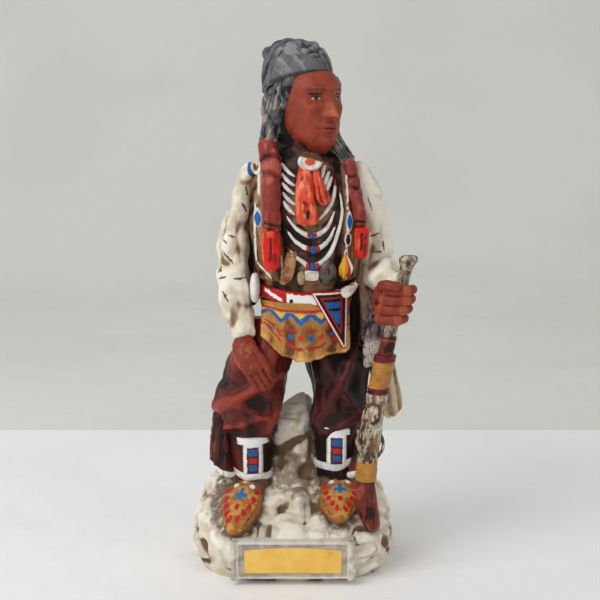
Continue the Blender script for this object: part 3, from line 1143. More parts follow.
disc = lump(torso_point(-0.465, -0.30, 0.315), 6.4, 12.6, 18.6, 70, 70)
lean = np.linspace(-1, 1, 70)[:, None]
carved = 0.7 * lean ** 2 * (1 - lean ** 4) * 2 + 0.15 * rough(disc, 5, 162, 2)
make("hip_disc_shell", [patch(pushed(disc, carved), relief=0.7)],
     worn_bone("white_shell", (238, 236, 230), (120, 96, 84), 0.35), "beads", "hip_disc")


def buckle():
    """A cushion-shaped plate with a raised frame, laid on the front of the belt."""
    x0, _, z0 = torso_point(0.02, 0, 0.380)
    angle = turns(120)
    square = 1 / (np.abs(np.cos(angle)) ** 5 + np.abs(np.sin(angle)) ** 5) ** 0.2
    share = np.linspace(1, 0.03, 36)[:, None]
    x, z = x0 + 2.6 + 4.6 * square * np.cos(angle) * share, z0 + 1.2 + 3.4 * square * np.sin(angle) * share
    frame_rise = 0.7 * np.exp(-((share - 0.84) / 0.09) ** 2)
    proud = 2.6 + 2.0 * (1 - share ** 4) ** 0.5 * 0.8 + frame_rise - 0.5 * (share < 0.68)
    top = on_torso(x, z, proud)
    grid = np.concatenate([on_torso(x[:1], z[:1], 0.0), top])
    dents = 0.25 * rough(grid, 2.6, 163)
    knob = lump(on_torso(np.array([x0 - 4.2]), np.array([z0 - 0.6]), 1.6)[0], 5.6, 6.0, 9.0, 40, 50)
    return [patch(pushed(grid, dents), relief=level_of(grid[..., 1] * -1 + dents) * 0.6 + 0.3),
            patch(pushed(knob, 0.25 * rough(knob, 3, 164)), relief=0.5, tone=1.0)]


def buckle_paint(place, colour):
    return coat(ink(166, 140, 104), colour, mark(place, "tone") * grain(place, 2.5, 3.0).rise(0.2, 0.5))


buckle_finish = antiqued("cream_buckle", (222, 212, 192), (112, 84, 62), (240, 234, 220), buckle_paint,
                         wash_at=0.3, rub_at=0.64, matt=0.35)
make("belt_buckle_plate", buckle(), buckle_finish, "beads", "buckle")

pouch = lump(torso_point(0.195, -0.49, 0.400), 11.6, 10.0, 16.4, 80, 90)
angle, lean = turns(90), np.linspace(-1, 1, 80)[:, None]
gathers = (0.4 * np.abs(np.sin(angle * 7 + lean)) * np.clip(lean, 0, 1)
           + 0.6 * (creased(pouch, (5, 5, 8), 171) - 0.4))
boss = np.hypot((pouch[..., 0] - 21.6) / 3.2, (pouch[..., 2] - 199.5) / 4.6)
lip = 0.4 * np.exp(-((boss - 1) / 0.3) ** 2) * (pouch[..., 1] < -28)
pouch_finish = antiqued("grey_brown_pouch", (98, 84, 74), (40, 32, 28), (134, 118, 104), wash_at=0.4,
                        rub_at=0.7, matt=0.6)
make("belt_pouch_hide", [patch(pushed(pouch, gathers + lip), relief=level_of(gathers + lip))], pouch_finish,
     "hide", "belt_pouch")


def strap_tails():
    """Two ends of strap that hang side by side, each a flat tube with a crease down its middle."""
    ends = []
    for shift, last in ((-0.028, 0.345), (0.020, 0.362)):
        path = [torso_point(a + shift, b, u) for a, b, u in
                ((-0.11, -0.52, 0.505), (-0.135, -0.545, 0.46), (-0.155, -0.56, 0.41), (-0.18, -0.55, last))]
        grid = tube(path, [3.4, 4.4, 5.0, 4.2], [2.6, 3.0, 3.2, 2.4], 70, 48, dome=(0.1, 0.08))
        crease = (-0.5 * np.exp(-(np.abs(np.sin(turns(48) / 2 + np.pi / 4)) / 0.16) ** 2)
                  + 0.3 * rough(grid, 3, 172))
        ends.append(cast(grid, crease))
    return ends


strap_finish = antiqued("brown_strap", (150, 102, 66), (58, 34, 22), (188, 142, 98), wash_at=0.4,
                        rub_at=0.62, matt=0.45)
make("waistcoat_tails", strap_tails(), strap_finish, "hide", "vest_tails")

TASSEL_TOP = torso_point(0.365, -0.41, 0.48)
# A strand of the tassel: how far its foot spreads, stands forward and hangs, and its tone
TASSEL = [(-3.4, -1.0, 13.5, 0.0), (-1.4, -2.2, 15.0, 0.0), (0.6, -1.8, 12.0, 1.0), (2.0, -1.0, 14.0, 3.0),
          (3.6, 0.0, 12.0, 2.0), (0.0, 1.4, 15.0, 1.0), (-2.4, 1.2, 14.0, 3.0), (2.6, 1.6, 13.0, 0.0)]


def tassel_strand(spread, forward, long, tone):
    """A flame: a tube that leaves the knot, bends outwards and tapers to a point."""
    ways = [(0.10, 0.0), (0.45, 0.30), (0.95, 0.72), (1.0, 1.0)]
    path = [TASSEL_TOP + [spread * out, forward * out - 1.0, -long * drop] for out, drop in ways]
    grid = tube(path, [1.6, 2.7, 2.9, 1.0], [1.6, 2.5, 2.5, 1.0], 40, 20, dome=(0.08, 0.14))
    return patch(pushed(grid, 0.18 * rough(grid, 2, 173)), relief=0.5, tone=tone)


def tassel_paint(place, colour):
    """Yellow strands, and others in orange, white and red."""
    tone = mark(place, "tone")
    for middle, shade in ((1.0, (230, 120, 38)), (2.0, (238, 234, 226)), (3.0, (186, 40, 32))):
        colour = coat(ink(*shade), colour, abs(tone - middle).rise(0.5, 0.4))
    return colour


tassel_finish = antiqued("yellow_tassel", (236, 180, 44), (110, 60, 26), (246, 206, 90), tassel_paint,
                         wash_at=0.3, rub_at=0.7, matt=0.35)
make("waistcoat_tassel", [tassel_strand(*row) for row in TASSEL], tassel_finish, "beads", "vest_tassel")

# Sleeves, hands and the long gun.
# Each arm is a solid casting luted into the armhole: a loose hide sleeve in ivory with a brown wash in its
# folds and short dark fringe marks, and a hand in the terracotta of the face. The right hand lies open on
# the thigh, and the left is closed round the barrel of the gun.
SLEEVE_RIGHT = ((-39.6, 0.0, 146.0 + 132.0 * 0.92), (21.0, 25.0, 112.0))
SLEEVE_RIGHT_SHARES = [(-1.00, 0.34, -0.82, 0.60, 0.52), (-0.86, 0.18, -0.52, 0.94, 0.80),
                       (-0.66, 0.03, -0.24, 0.88, 0.86), (-0.42, 0.09, -0.10, 0.84, 0.92),
                       (-0.18, 0.32, 0.00, 0.64, 0.86), (-0.02, 0.58, 0.02, 0.50, 0.56)]
# A cut in the sleeve where its fringe is sewn on: across, up, half length, half width, slant
CUTS = [(-41.8, 206.5, 5.7, 0.9, -0.87), (-39.5, 220.4, 2.8, 0.6, -0.47), (-47.2, 198.3, 2.6, 0.8, 0.95),
        (-45.8, 193.8, 2.8, 0.7, 0.45), (-34.2, 193.2, 4.4, 0.6, 0.03), (-43.7, 182.0, 3.8, 0.8, -1.04),
        (-29.8, 249.2, 3.0, 0.8, -1.26), (-31.1, 238.6, 3.8, 0.7, -1.05), (-43.6, 217.2, 1.9, 0.6, -0.88),
        (52.9, 220.4, 3.4, 0.7, 0.34), (58.6, 213.5, 3.6, 0.6, -1.35), (54.6, 209.8, 3.0, 0.6, 0.17),
        (49.5, 241.1, 5.5, 0.5, -1.29), (48.9, 223.7, 2.1, 0.6, -0.89)]
SLEEVE_LEFT_SHARES = [(0.80, -0.58, 0.305, 0.66), (0.76, -0.34, 0.34, 0.92), (0.70, -0.04, 0.385, 1.05),
                      (0.63, 0.16, 0.53, 1.00), (0.55, 0.11, 0.75, 0.98), (0.46, 0.08, 0.91, 0.70)]


def fringe_marks(place, colour):
    """Dark cuts on the front of the sleeves, short dark strokes in rows down their backs, and the shoulder
    ring."""
    across, along = mark(place, "across"), mark(place, "along")
    shaken = (grain(place, 3.0, 2.0) - 0.5) * 3.0
    row = across.node("ShaderNodeMath", {"operation": "PINGPONG"},
                      {0: across + shaken * 0.5 + along * 0.25, 1: 5.5})
    step = along.node("ShaderNodeMath", {"operation": "PINGPONG"}, {0: along + shaken, 1: 2.6})
    x, y, z = axes(place, 1.4, 3.0)
    strokes = (row.rise(0.75, 0.35) * step.rise(1.1, 1.6) * grain(place, 13.0, 2.0).rise(0.56, 0.62)
               * y.rise(1, 6))
    for at, up, long, wide, slant in CUTS:
        c, s = float(np.cos(slant)), float(np.sin(slant))
        down, over = (x - at) * c + (z - up) * s, (z - up) * c - (x - at) * s
        strokes = strokes.most((down * down / long ** 2 + over * over / wide ** 2).rise(1.25, 0.75)
                               * y.rise(4, 0))
    return ovals(place, coat(ink(70, 48, 36), colour, strokes * 0.9), SHOULDER_RING)


sleeve_finish = antiqued("ivory_hide_sleeve", (238, 228, 204), (126, 92, 62), (252, 246, 230), fringe_marks,
                         wash_at=0.34, rub_at=0.62, matt=0.55, tooth=0.06)


def sleeve_folds(grid, along, seed, elbow, cuff):
    """Hide gathered round the arm: slanting rings of folds that crowd together at the elbow and the cuff,
    long soft creases down the rest, and small puckers."""
    share = np.linspace(0, 1, grid.shape[0])[:, None]
    angle = turns(grid.shape[1])
    crowd = np.exp(-((share - elbow) / 0.16) ** 2) + 0.9 * np.exp(-((share - cuff) / 0.10) ** 2)
    rings = np.sin(along / 3.1 + 1.6 * np.sin(angle + seed) + 0.8 * np.sin(2 * angle)) * crowd
    long_ones = creased(grid, (15, 15, 27), seed, 2) - 0.45
    return 0.9 * rings + 3.6 * long_ones + 0.15 * rough(grid, 4, seed + 3, 2)


right = domed(column(*SLEEVE_RIGHT, SLEEVE_RIGHT_SHARES, 240, 150), 0.015, 0.12)
along = (right[..., 2:3].mean(1) - SLEEVE_RIGHT[0][2])
folds = sleeve_folds(right, along, 201, 0.50, 0.06)
around = turns(150) * 10.5
make("sleeve_right_cast", [patch(pushed(right, folds), relief=level_of(folds) * 0.85 + 0.1,
                                 across=around, along=-along)],
     sleeve_finish, "sleeve", "sleeve_right")

stations = [torso_point(a, b, u) for a, b, u, _ in SLEEVE_LEFT_SHARES]
thick = [21.0 * share for *_, share in SLEEVE_LEFT_SHARES]
left = tube(stations, thick, thick, 240, 150, dome=(0.012, 0.12))
run = np.cumsum(np.linalg.norm(np.diff(left.mean(1), axis=0, prepend=left.mean(1)[:1]), axis=1))[:, None]
folds = sleeve_folds(left, run, 211, 0.30, 0.05)
make("sleeve_left_cast", [patch(pushed(left, folds), relief=level_of(folds) * 0.85 + 0.1,
                                across=around, along=run)],
     sleeve_finish, "sleeve", "sleeve_left")

SKIN = ((156, 66, 44), (58, 20, 15), (194, 100, 70))


def knuckled(path, width, rows=70, columns=36, joints=(0.36, 0.68), hint=(1.0, 0.0, 0.0), bony=0.35):
    """A finger: a tube that swells at its joints and ends in a dome, with creases across each joint."""
    t = np.linspace(0, 1, len(path))
    widths = width * (1.0 - 0.22 * t)
    grid = tube(path, widths, widths * 0.95, rows, columns, hint, (0.06, 0.14))
    share = np.linspace(0, 1, rows)[:, None]
    swell = sum(bony * np.exp(-((share - joint) / 0.07) ** 2) for joint in joints)
    crease = sum(-0.30 * np.exp(-((share - joint) / 0.014) ** 2) for joint in joints)
    nail = -0.25 * np.exp(-((share - 0.90) / 0.05) ** 4)
    height = swell + crease + nail + 0.12 * rough(grid, 2.2, 221)
    return patch(pushed(grid, height), relief=0.45 + 0.5 * height + 0.35 * swell)


HAND_SHARES = [(0.30, -0.60, -0.95, 0.58, 0.70), (0.36, -0.78, -0.99, 0.66, 0.80),
               (0.42, -1.08, -1.06, 0.95, 0.94),
               (0.60, -1.24, -1.12, 1.00, 0.84), (0.82, -1.27, -1.19, 0.90, 0.66)]


def hand_point(across, back, up):
    """A point given as shares of the right sleeve's width, depth and length."""
    return np.array(SLEEVE_RIGHT[0]) + np.array(SLEEVE_RIGHT[1]) * (across, back, up)


def open_hand():
    """A palm with tendons down its back, four fingers side by side and a thumb, all reaching down the
    thigh."""
    path = [hand_point(*row[:3]) for row in HAND_SHARES]
    palm = tube(path, [17.0 * row[3] for row in HAND_SHARES], [14.0 * row[4] for row in HAND_SHARES], 90, 90,
                dome=(0.05, 0.12))
    angle = turns(90)
    tendons = 0.35 * np.cos(angle * 8) * np.linspace(0, 1, 90)[:, None] * (np.sin(angle) < 0)
    height = tendons + 0.45 * rough(palm, 5, 222) + 0.15 * rough(palm, 1.8, 223)
    pieces = [cast(palm, height)]
    knuckles = path[-1]
    down = (knuckles - path[-2]) / np.linalg.norm(knuckles - path[-2])
    sideways = np.array([down[2], 0, -down[0]]) / np.hypot(down[0], down[2])
    for index, (long, width) in enumerate(((13.0, 4.1), (15.0, 4.5), (16.2, 4.6), (14.4, 4.5))):
        start = knuckles + sideways * (index - 1.5) * 3.9 - down * 3.6 + np.array([0, -1.0, 0])
        bend = np.array([0, 0.9, -0.3])
        pieces.append(knuckled([start + down * long * t + bend * (2.4 * t * t) for t in (0, 0.35, 0.7, 1.0)],
                               width))
    thumb = [hand_point(0.55, -1.16, -1.02), hand_point(0.84, -1.32, -1.08), hand_point(1.08, -1.40, -1.14),
             hand_point(1.20, -1.42, -1.185)]
    return pieces + [knuckled(thumb, 5.6, joints=(0.55,))]


skin_finish = antiqued("terracotta_skin", (142, 58, 40), (52, 18, 14), (178, 88, 62), wash_at=0.34,
                       rub_at=0.72, matt=0.44, tooth=0.04)
make("open_hand_cast", open_hand(), skin_finish, "skin", "open_hand")

# Long gun: stock and lock, wrapped with cord in gold and banded in wine red, with a bare grey barrel.
# One solid casting stands on the rock and runs up through the left hand. It is painted length by length.
GUN_Y, GUN_FOOT, GUN_WRIST, GUN_WRIST_X, GUN_LEAN = -37.0, 31.0, 65.0, 47.0, 26.0
FIST_Z = torso_z(0.265)
GUN_TOP = FIST_Z + 30.0


def gun_x(z):
    """The line of the gun: it leans out as a power of its height above the wrist, and its stock's toe
    curls."""
    z = np.asarray(z, float)
    above = GUN_WRIST_X + GUN_LEAN * (np.clip(z - GUN_WRIST, 0, None) / (GUN_TOP - GUN_WRIST)) ** 1.4
    return above + 5.0 * (np.clip(GUN_WRIST - z, 0, None) / 34.0) ** 2


def gun_round(levels, rows, columns):
    """Level ellipses about the gun's line: each level is a height, a width and a depth."""
    z = np.linspace(levels[0][0], levels[-1][0], rows)
    width, depth = eased(levels, z).T[:, :, None]
    angle = turns(columns)
    x = gun_x(z)[:, None] + width / 2 * np.cos(angle)
    return np.stack([x, GUN_Y + depth / 2 * np.sin(angle), z[:, None] + 0 * angle], -1)


def lashing(low, high, width, pitch, slope, seed):
    """Cord wound round the gun: half rounds side by side, climbing as they go round, one turn a pitch."""
    grid = gun_round([(low, width, width), ((low + high) / 2, width * 1.04, width * 1.04),
                      (high, width, width)],
                     int((high - low) * 9), 96)
    climb = (grid[..., 2] - slope * turns(96) / (2 * np.pi)) / pitch
    cord = np.sqrt(1 - (2 * (climb % 1) - 1) ** 2 * 0.96)
    worn = np.clip(0.5 + lumps(grid, (6, 6, 4), seed + 3), 0.25, 1)
    height = 0.4 * cord * worn - 0.3 + 0.5 * rough(grid, 5, seed, 2)
    return patch(pushed(grid, height), relief=level_of(cord * worn) * 0.35 + 0.4)


levels = [(GUN_FOOT - 0.5, 5.0, 6.5), (GUN_FOOT + 2.0, 9.5, 11.5), (GUN_FOOT + 34 * 0.22, 12.7, 15.0),
          (GUN_FOOT + 34 * 0.55, 13.5, 13.8), (GUN_WRIST, 11.4, 10.9)]
stock = gun_round(levels, 130, 90)
comb = 0.35 * rough(stock, (8, 8, 14), 231) + 0.12 * rough(stock, (2, 2, 9), 232)
stock_finish = antiqued("red_brown_stock", (114, 44, 32), (34, 18, 14), (158, 78, 58), wash_at=0.40,
                        rub_at=0.70, matt=0.4, tooth=0.05)
make("gun_stock_cast", [cast(stock, comb)], stock_finish, "stock", "gun_stock")

gold_finish = antiqued("gold_cord", (188, 130, 56), (84, 48, 24), (230, 184, 100), wash_at=0.50, rub_at=0.70,
                       matt=0.34)
wine_finish = antiqued("wine_band", (112, 32, 34), (36, 10, 12), (150, 62, 58), wash_at=0.26, rub_at=0.70,
                       matt=0.38)
grey_finish = antiqued("grey_brushed_barrel", (152, 136, 116), (60, 48, 38), (208, 198, 178), wash_at=0.42,
                       rub_at=0.56, matt=0.42)


def lock_paint(place, colour):
    """Streaks of brown and dark wash along the cream wood."""
    drawn_out = place.node("ShaderNodeVectorMath", {"operation": "MULTIPLY"}, {0: place, 1: (1.0, 1.0, 0.3)})
    streaks = grain(drawn_out, 2.6, 3.0)
    colour = coat(ink(132, 92, 62), colour, streaks.rise(0.52, 0.60) * 0.8)
    return coat(ink(66, 42, 32), colour, streaks.rise(0.42, 0.36) * 0.9)


lock_finish = antiqued("streaked_lock", (188, 174, 152), (70, 48, 36), (216, 206, 188), lock_paint,
                       wash_at=0.50, rub_at=0.70, matt=0.48)
level = GUN_WRIST
make("gun_low_lashing", [lashing(level, level + 12.5, 13.4, 2.3, 2.3, 241)], gold_finish, "gold",
     "gun_low_wrap")
level += 12.5
zone = gun_round([(level, 11.6, 11.8), (level + 14, 13.4, 13.0), (level + 30, 12.6, 12.4),
                  (level + 45, 12.0, 12.2)],
                 260, 100)
carved = 1.5 * (creased(zone, (5, 5, 11), 242) - 0.4) + 0.3 * rough(zone, 2.4, 243)
hammer = tube([(gun_x(level + 10) - 5.5, GUN_Y - 3.0, level + 9),
               (gun_x(level + 12) - 8.0, GUN_Y - 4.0, level + 14),
               (gun_x(level + 17) - 7.2, GUN_Y - 4.0, level + 19),
               (gun_x(level + 18) - 9.0, GUN_Y - 4.2, level + 22)],
              [3.4, 3.0, 2.6, 2.0], [3.4, 2.8, 2.4, 2.0], 50, 30, (0, 1, 0), (0.1, 0.12))
guard = tube([(gun_x(level + 4) + 5.5, GUN_Y - 2, level + 3),
              (gun_x(level + 8) + 8.6, GUN_Y - 2.5, level + 8),
              (gun_x(level + 14) + 8.2, GUN_Y - 2.5, level + 14),
              (gun_x(level + 19) + 5.6, GUN_Y - 2, level + 19)],
             [2.2, 1.9, 1.9, 2.2], [2.6, 2.2, 2.2, 2.6], 50, 30, (0, 1, 0), (0.1, 0.1))
make("gun_lock_cast", [cast(zone, carved), patch(hammer, relief=0.5),
                       patch(guard, relief=0.5)], lock_finish, "stock", "gun_lock")
level += 45.0


def band(low, high, width, seed):
    """A cloth band tied round the gun: a swelling ring with a rolled edge above and below."""
    grid = gun_round([(low, width, width), ((low + high) / 2, width * 1.05, width * 1.05),
                      (high, width, width)], 44, 90)
    share = np.linspace(-1, 1, 44)[:, None]
    height = 0.5 * np.exp(-((np.abs(share) - 0.7) / 0.16) ** 2) + 0.35 * rough(grid, (3, 3, 2), seed) + 0.2
    return cast(grid, height)


make("gun_lower_binding", [band(level, level + 4.0, 12.8, 251)], wine_finish, "wrap", "gun_lower_band")
level += 4.0
make("gun_upper_lashing", [lashing(level, level + 17.0, 13.4, 2.1, 4.2, 252)], gold_finish, "gold",
     "gun_upper_wrap")
level += 17.0
make("gun_upper_binding", [band(level, level + 4.0, 12.8, 253)], wine_finish, "wrap", "gun_upper_band")
level += 4.0
fore = gun_round([(level, 9.4, 9.4), (level + 6, 9.8, 9.4), (level + 12, 9.0, 9.0)], 60, 80)
carved = (0.4 * rough(fore, (3, 3, 8), 254)
          + 0.5 * np.exp(-((np.linspace(0, 1, 60)[:, None] - 0.82) / 0.07) ** 2))
make("gun_fore_wood", [cast(fore, carved)], stock_finish, "stock", "gun_fore_end")
level += 12.0
muzzle_low = GUN_TOP - 9.0
barrel = gun_round([(level, 8.2, 8.2), ((level + muzzle_low) / 2, 8.1, 8.1), (muzzle_low, 8.1, 8.1)], 130, 80)
carved = 0.5 * rough(barrel, (3, 3, 9), 255) + 0.18 * rough(barrel, 1.6, 256)
make("gun_barrel_cast", [cast(barrel, carved)], grey_finish, "gun_metal",
     "gun_barrel")
top = [(muzzle_low, 8.1, 8.1), (muzzle_low + 2.5, 9.4, 9.2), (muzzle_low + 5, 11.6, 11.0),
       (muzzle_low + 7.5, 11.8, 11.2), (muzzle_low + 9.0, 9.6, 9.2)]
muzzle = gun_round(top, 60, 80)
bore = (muzzle[-1].mean(0)
        + (muzzle[-1] - muzzle[-1].mean(0)) * np.array([0.62, 0.42, 0.36, 0.06])[:, None, None])
bore[..., 2] += np.array([0.1, -0.4, -3.0, -3.2])[:, None]
muzzle = np.concatenate([muzzle, bore])
carved = 0.45 * rough(muzzle, 3, 257) * np.concatenate([np.ones(60), np.zeros(4)])[:, None]
worn = np.concatenate([np.ones(61), [0.6, -0.6, -0.6]])[:, None]
make("gun_muzzle_cast", [patch(pushed(muzzle, carved), relief=level_of(carved) * worn)], grey_finish,
     "gun_metal", "gun_muzzle")


def closed_fist():
    """Four fingers curled round the barrel from behind it, the heel of the hand, and the thumb over the
    top."""
    x, ring = float(gun_x(FIST_Z)), 4.5 + 3.2
    pieces = []
    for index in range(4):
        z = FIST_Z + (index - 1.5) * 6.1
        sweep = np.radians(np.linspace(118, (352, 368, 372, 362)[index], 7))
        radius = ring + 0.9 * np.cos(2 * sweep)
        path = np.stack([gun_x(z) + radius * np.cos(sweep), GUN_Y + radius * np.sin(sweep),
                         z + 0.8 * np.sin(sweep + 0.6)], -1)
        pieces.append(knuckled(path, 8.0 - 0.4 * abs(index - 2), joints=(0.34, 0.66), hint=(0, 0, 1),
                               bony=0.8))
    heel = lump((x - ring + 1.0, GUN_Y + ring, FIST_Z), 19.0, 17.5, 25.0, 60, 70)
    height = 0.5 * rough(heel, 6, 261) + 0.2 * rough(heel, 2, 262)
    pieces.append(cast(heel, height))
    thumb = [(x - 9.5, GUN_Y + 3.5, FIST_Z + 8.5), (x - 9.4, GUN_Y - 4.0, FIST_Z + 11.6),
             (x - 4.0, GUN_Y - 9.0, FIST_Z + 12.2), (x + 2.2, GUN_Y - 8.8, FIST_Z + 11.2)]
    return pieces + [knuckled(thumb, 7.4, joints=(0.55,), hint=(0, 0, 1))]


make("fist_cast", closed_fist(), skin_finish, "skin", "fist")

# Robe over the left forearm, and the small pelt bag beside it.
# Solid castings behind the gun: the robe tan, with long soft folds; the pelt grey-purple with combed fur and
# a pale tail.
ROBE_SHARES = [(0.829, 0.12, -0.364, 0.55, 0.50), (0.743, 0.12, -0.136, 0.73, 0.75),
               (0.657, 0.12, 0.068, 1.00, 1.00),
               (0.629, 0.10, 0.295, 1.00, 1.33), (0.543, 0.14, 0.500, 0.73, 1.17)]
PELT_SHARES = [(0.571, -0.26, -0.083, 0.18, 0.30), (0.600, -0.26, -0.01, 0.30, 0.45),
               (0.629, -0.26, 0.068, 0.64, 0.75),
               (0.657, -0.20, 0.180, 0.45, 0.60), (0.670, -0.10, 0.300, 0.36, 0.60)]


def hanging(shares, wide, thick, rows, columns, dome=(0.03, 0.08)):
    path = [torso_point(*row[:3]) for row in shares]
    return tube(path, [wide * row[3] for row in shares], [thick * row[4] for row in shares], rows, columns,
                dome=dome)


robe = hanging(ROBE_SHARES, 22.0, 12.0, 220, 150)
angle = turns(150)
flutes = 1.5 * np.sin(angle * 5 + 0.6 * np.sin(robe[..., 2] / 14)) * np.linspace(1, 0.4, 220)[:, None]
folds = flutes + 2.2 * (creased(robe, (8, 8, 22), 271) - 0.4) + 0.3 * rough(robe, 3, 272)
robe_finish = antiqued("tan_robe", (184, 156, 124), (84, 60, 44), (218, 198, 170), wash_at=0.40, rub_at=0.66,
                       matt=0.62)
make("robe_hide", [cast(robe, folds)], robe_finish, "hide", "hide_robe")

pelt = hanging(PELT_SHARES, 22.0, 12.0, 170, 110, (0.04, 0.10))
fur = 1.5 * (creased(pelt, (1.8, 1.8, 7.0), 281) - 0.4) + 0.6 * rough(pelt, 6, 282)


def pelt_paint(place, colour):
    z = axes(place, 1.5, 4.0)[2]
    return coat(ink(214, 204, 192), colour, z.rise(157, 150) * grain(place, 2.0, 3.0).rise(0.3, 0.5) * 0.9)


pelt_finish = antiqued("grey_pelt", (116, 100, 104), (48, 36, 38), (168, 152, 150), pelt_paint, wash_at=0.42,
                       rub_at=0.62, matt=0.66)
make("pelt_bag_fur", [cast(pelt, fur)], pelt_finish, "pelt", "pelt_bag")

# Head and neck.
# Cast hollow, with a flat seat for the stopper across its top and the mouth of the bottle in the seat. The
# face is a plain calm one, painted terracotta with a dark wash in its creases and a pale brush on its
# raised parts. He looks a little to his left.
HEAD_TURN, HEAD_AT = np.radians(36.0), np.array([9.0, -1.0, 276.0])
SKULL_SHARES = [(-0.10, 0.0, -0.12, 0.30, 0.26), (-0.03, 0.0, -0.17, 0.40, 0.42),
                (0.04, 0.0, -0.17, 0.52, 0.56),
                (0.18, 0.0, -0.10, 0.78, 0.80), (0.46, 0.0, -0.02, 0.97, 0.98), (0.78, 0.0, 0.01, 1.00, 1.01),
                (1.10, 0.0, 0.03, 0.90, 0.92)]
SEAT_UP, SEAT_SLOPE = 43.0, 0.3057
MOUTH_RADIUS = 9.06
# A form on the face: across (on both sides), up, half width, half height, how far it stands forward
FACE_FORMS = [
    (0.0, 37.5, 13.0, 2.6, 1.5), (7.6, 37.2, 5.0, 1.6, 1.0), (8.6, 32.2, 5.2, 3.4, -3.0),
    (8.6, 31.9, 3.5, 2.1, 2.3),
    (12.6, 25.5, 5.0, 4.2, 1.9), (10.5, 15.0, 4.0, 5.0, -0.8), (0.0, 13.4, 8.0, 5.0, 1.9),
    (2.2, 15.0, 2.6, 0.95, 1.0),
    (0.0, 11.6, 4.6, 1.25, 1.4), (0.0, 13.25, 6.2, 0.45, -1.3), (6.6, 13.2, 0.9, 0.9, -0.6),
    (0.0, 8.6, 4.4, 1.3, -1.1),
    (0.0, 4.2, 5.4, 3.4, 2.6), (3.6, 20.9, 1.7, 1.7, 2.3), (6.0, 18.6, 1.0, 3.4, -0.5),
    (0.0, 17.4, 0.9, 1.6, -0.5), (8.6, 29.3, 3.6, 0.5, -0.4), (0.0, 45.0, 14.0, 5.0, 0.9),
]


def seat(y):
    """The height of the slanting seat in the head's own frame, at a distance back."""
    return SEAT_UP - SEAT_SLOPE * y


def turned(local):
    """Points of the head's own frame, turned to his left and put on the shoulders."""
    return spun(local, HEAD_TURN) + HEAD_AT


def reach(across, back, wide, deep, angle):
    """How far an upright ellipse reaches from the axis along each angle, for an axis inside it."""
    c, s = np.cos(angle), np.sin(angle)
    a = (c / wide) ** 2 + (s / deep) ** 2
    b = -(c * across / wide ** 2 + s * back / deep ** 2)
    inside = np.clip(b ** 2 - a * ((across / wide) ** 2 + (back / deep) ** 2 - 1), 0, None)
    return (-b + np.sqrt(inside)) / a


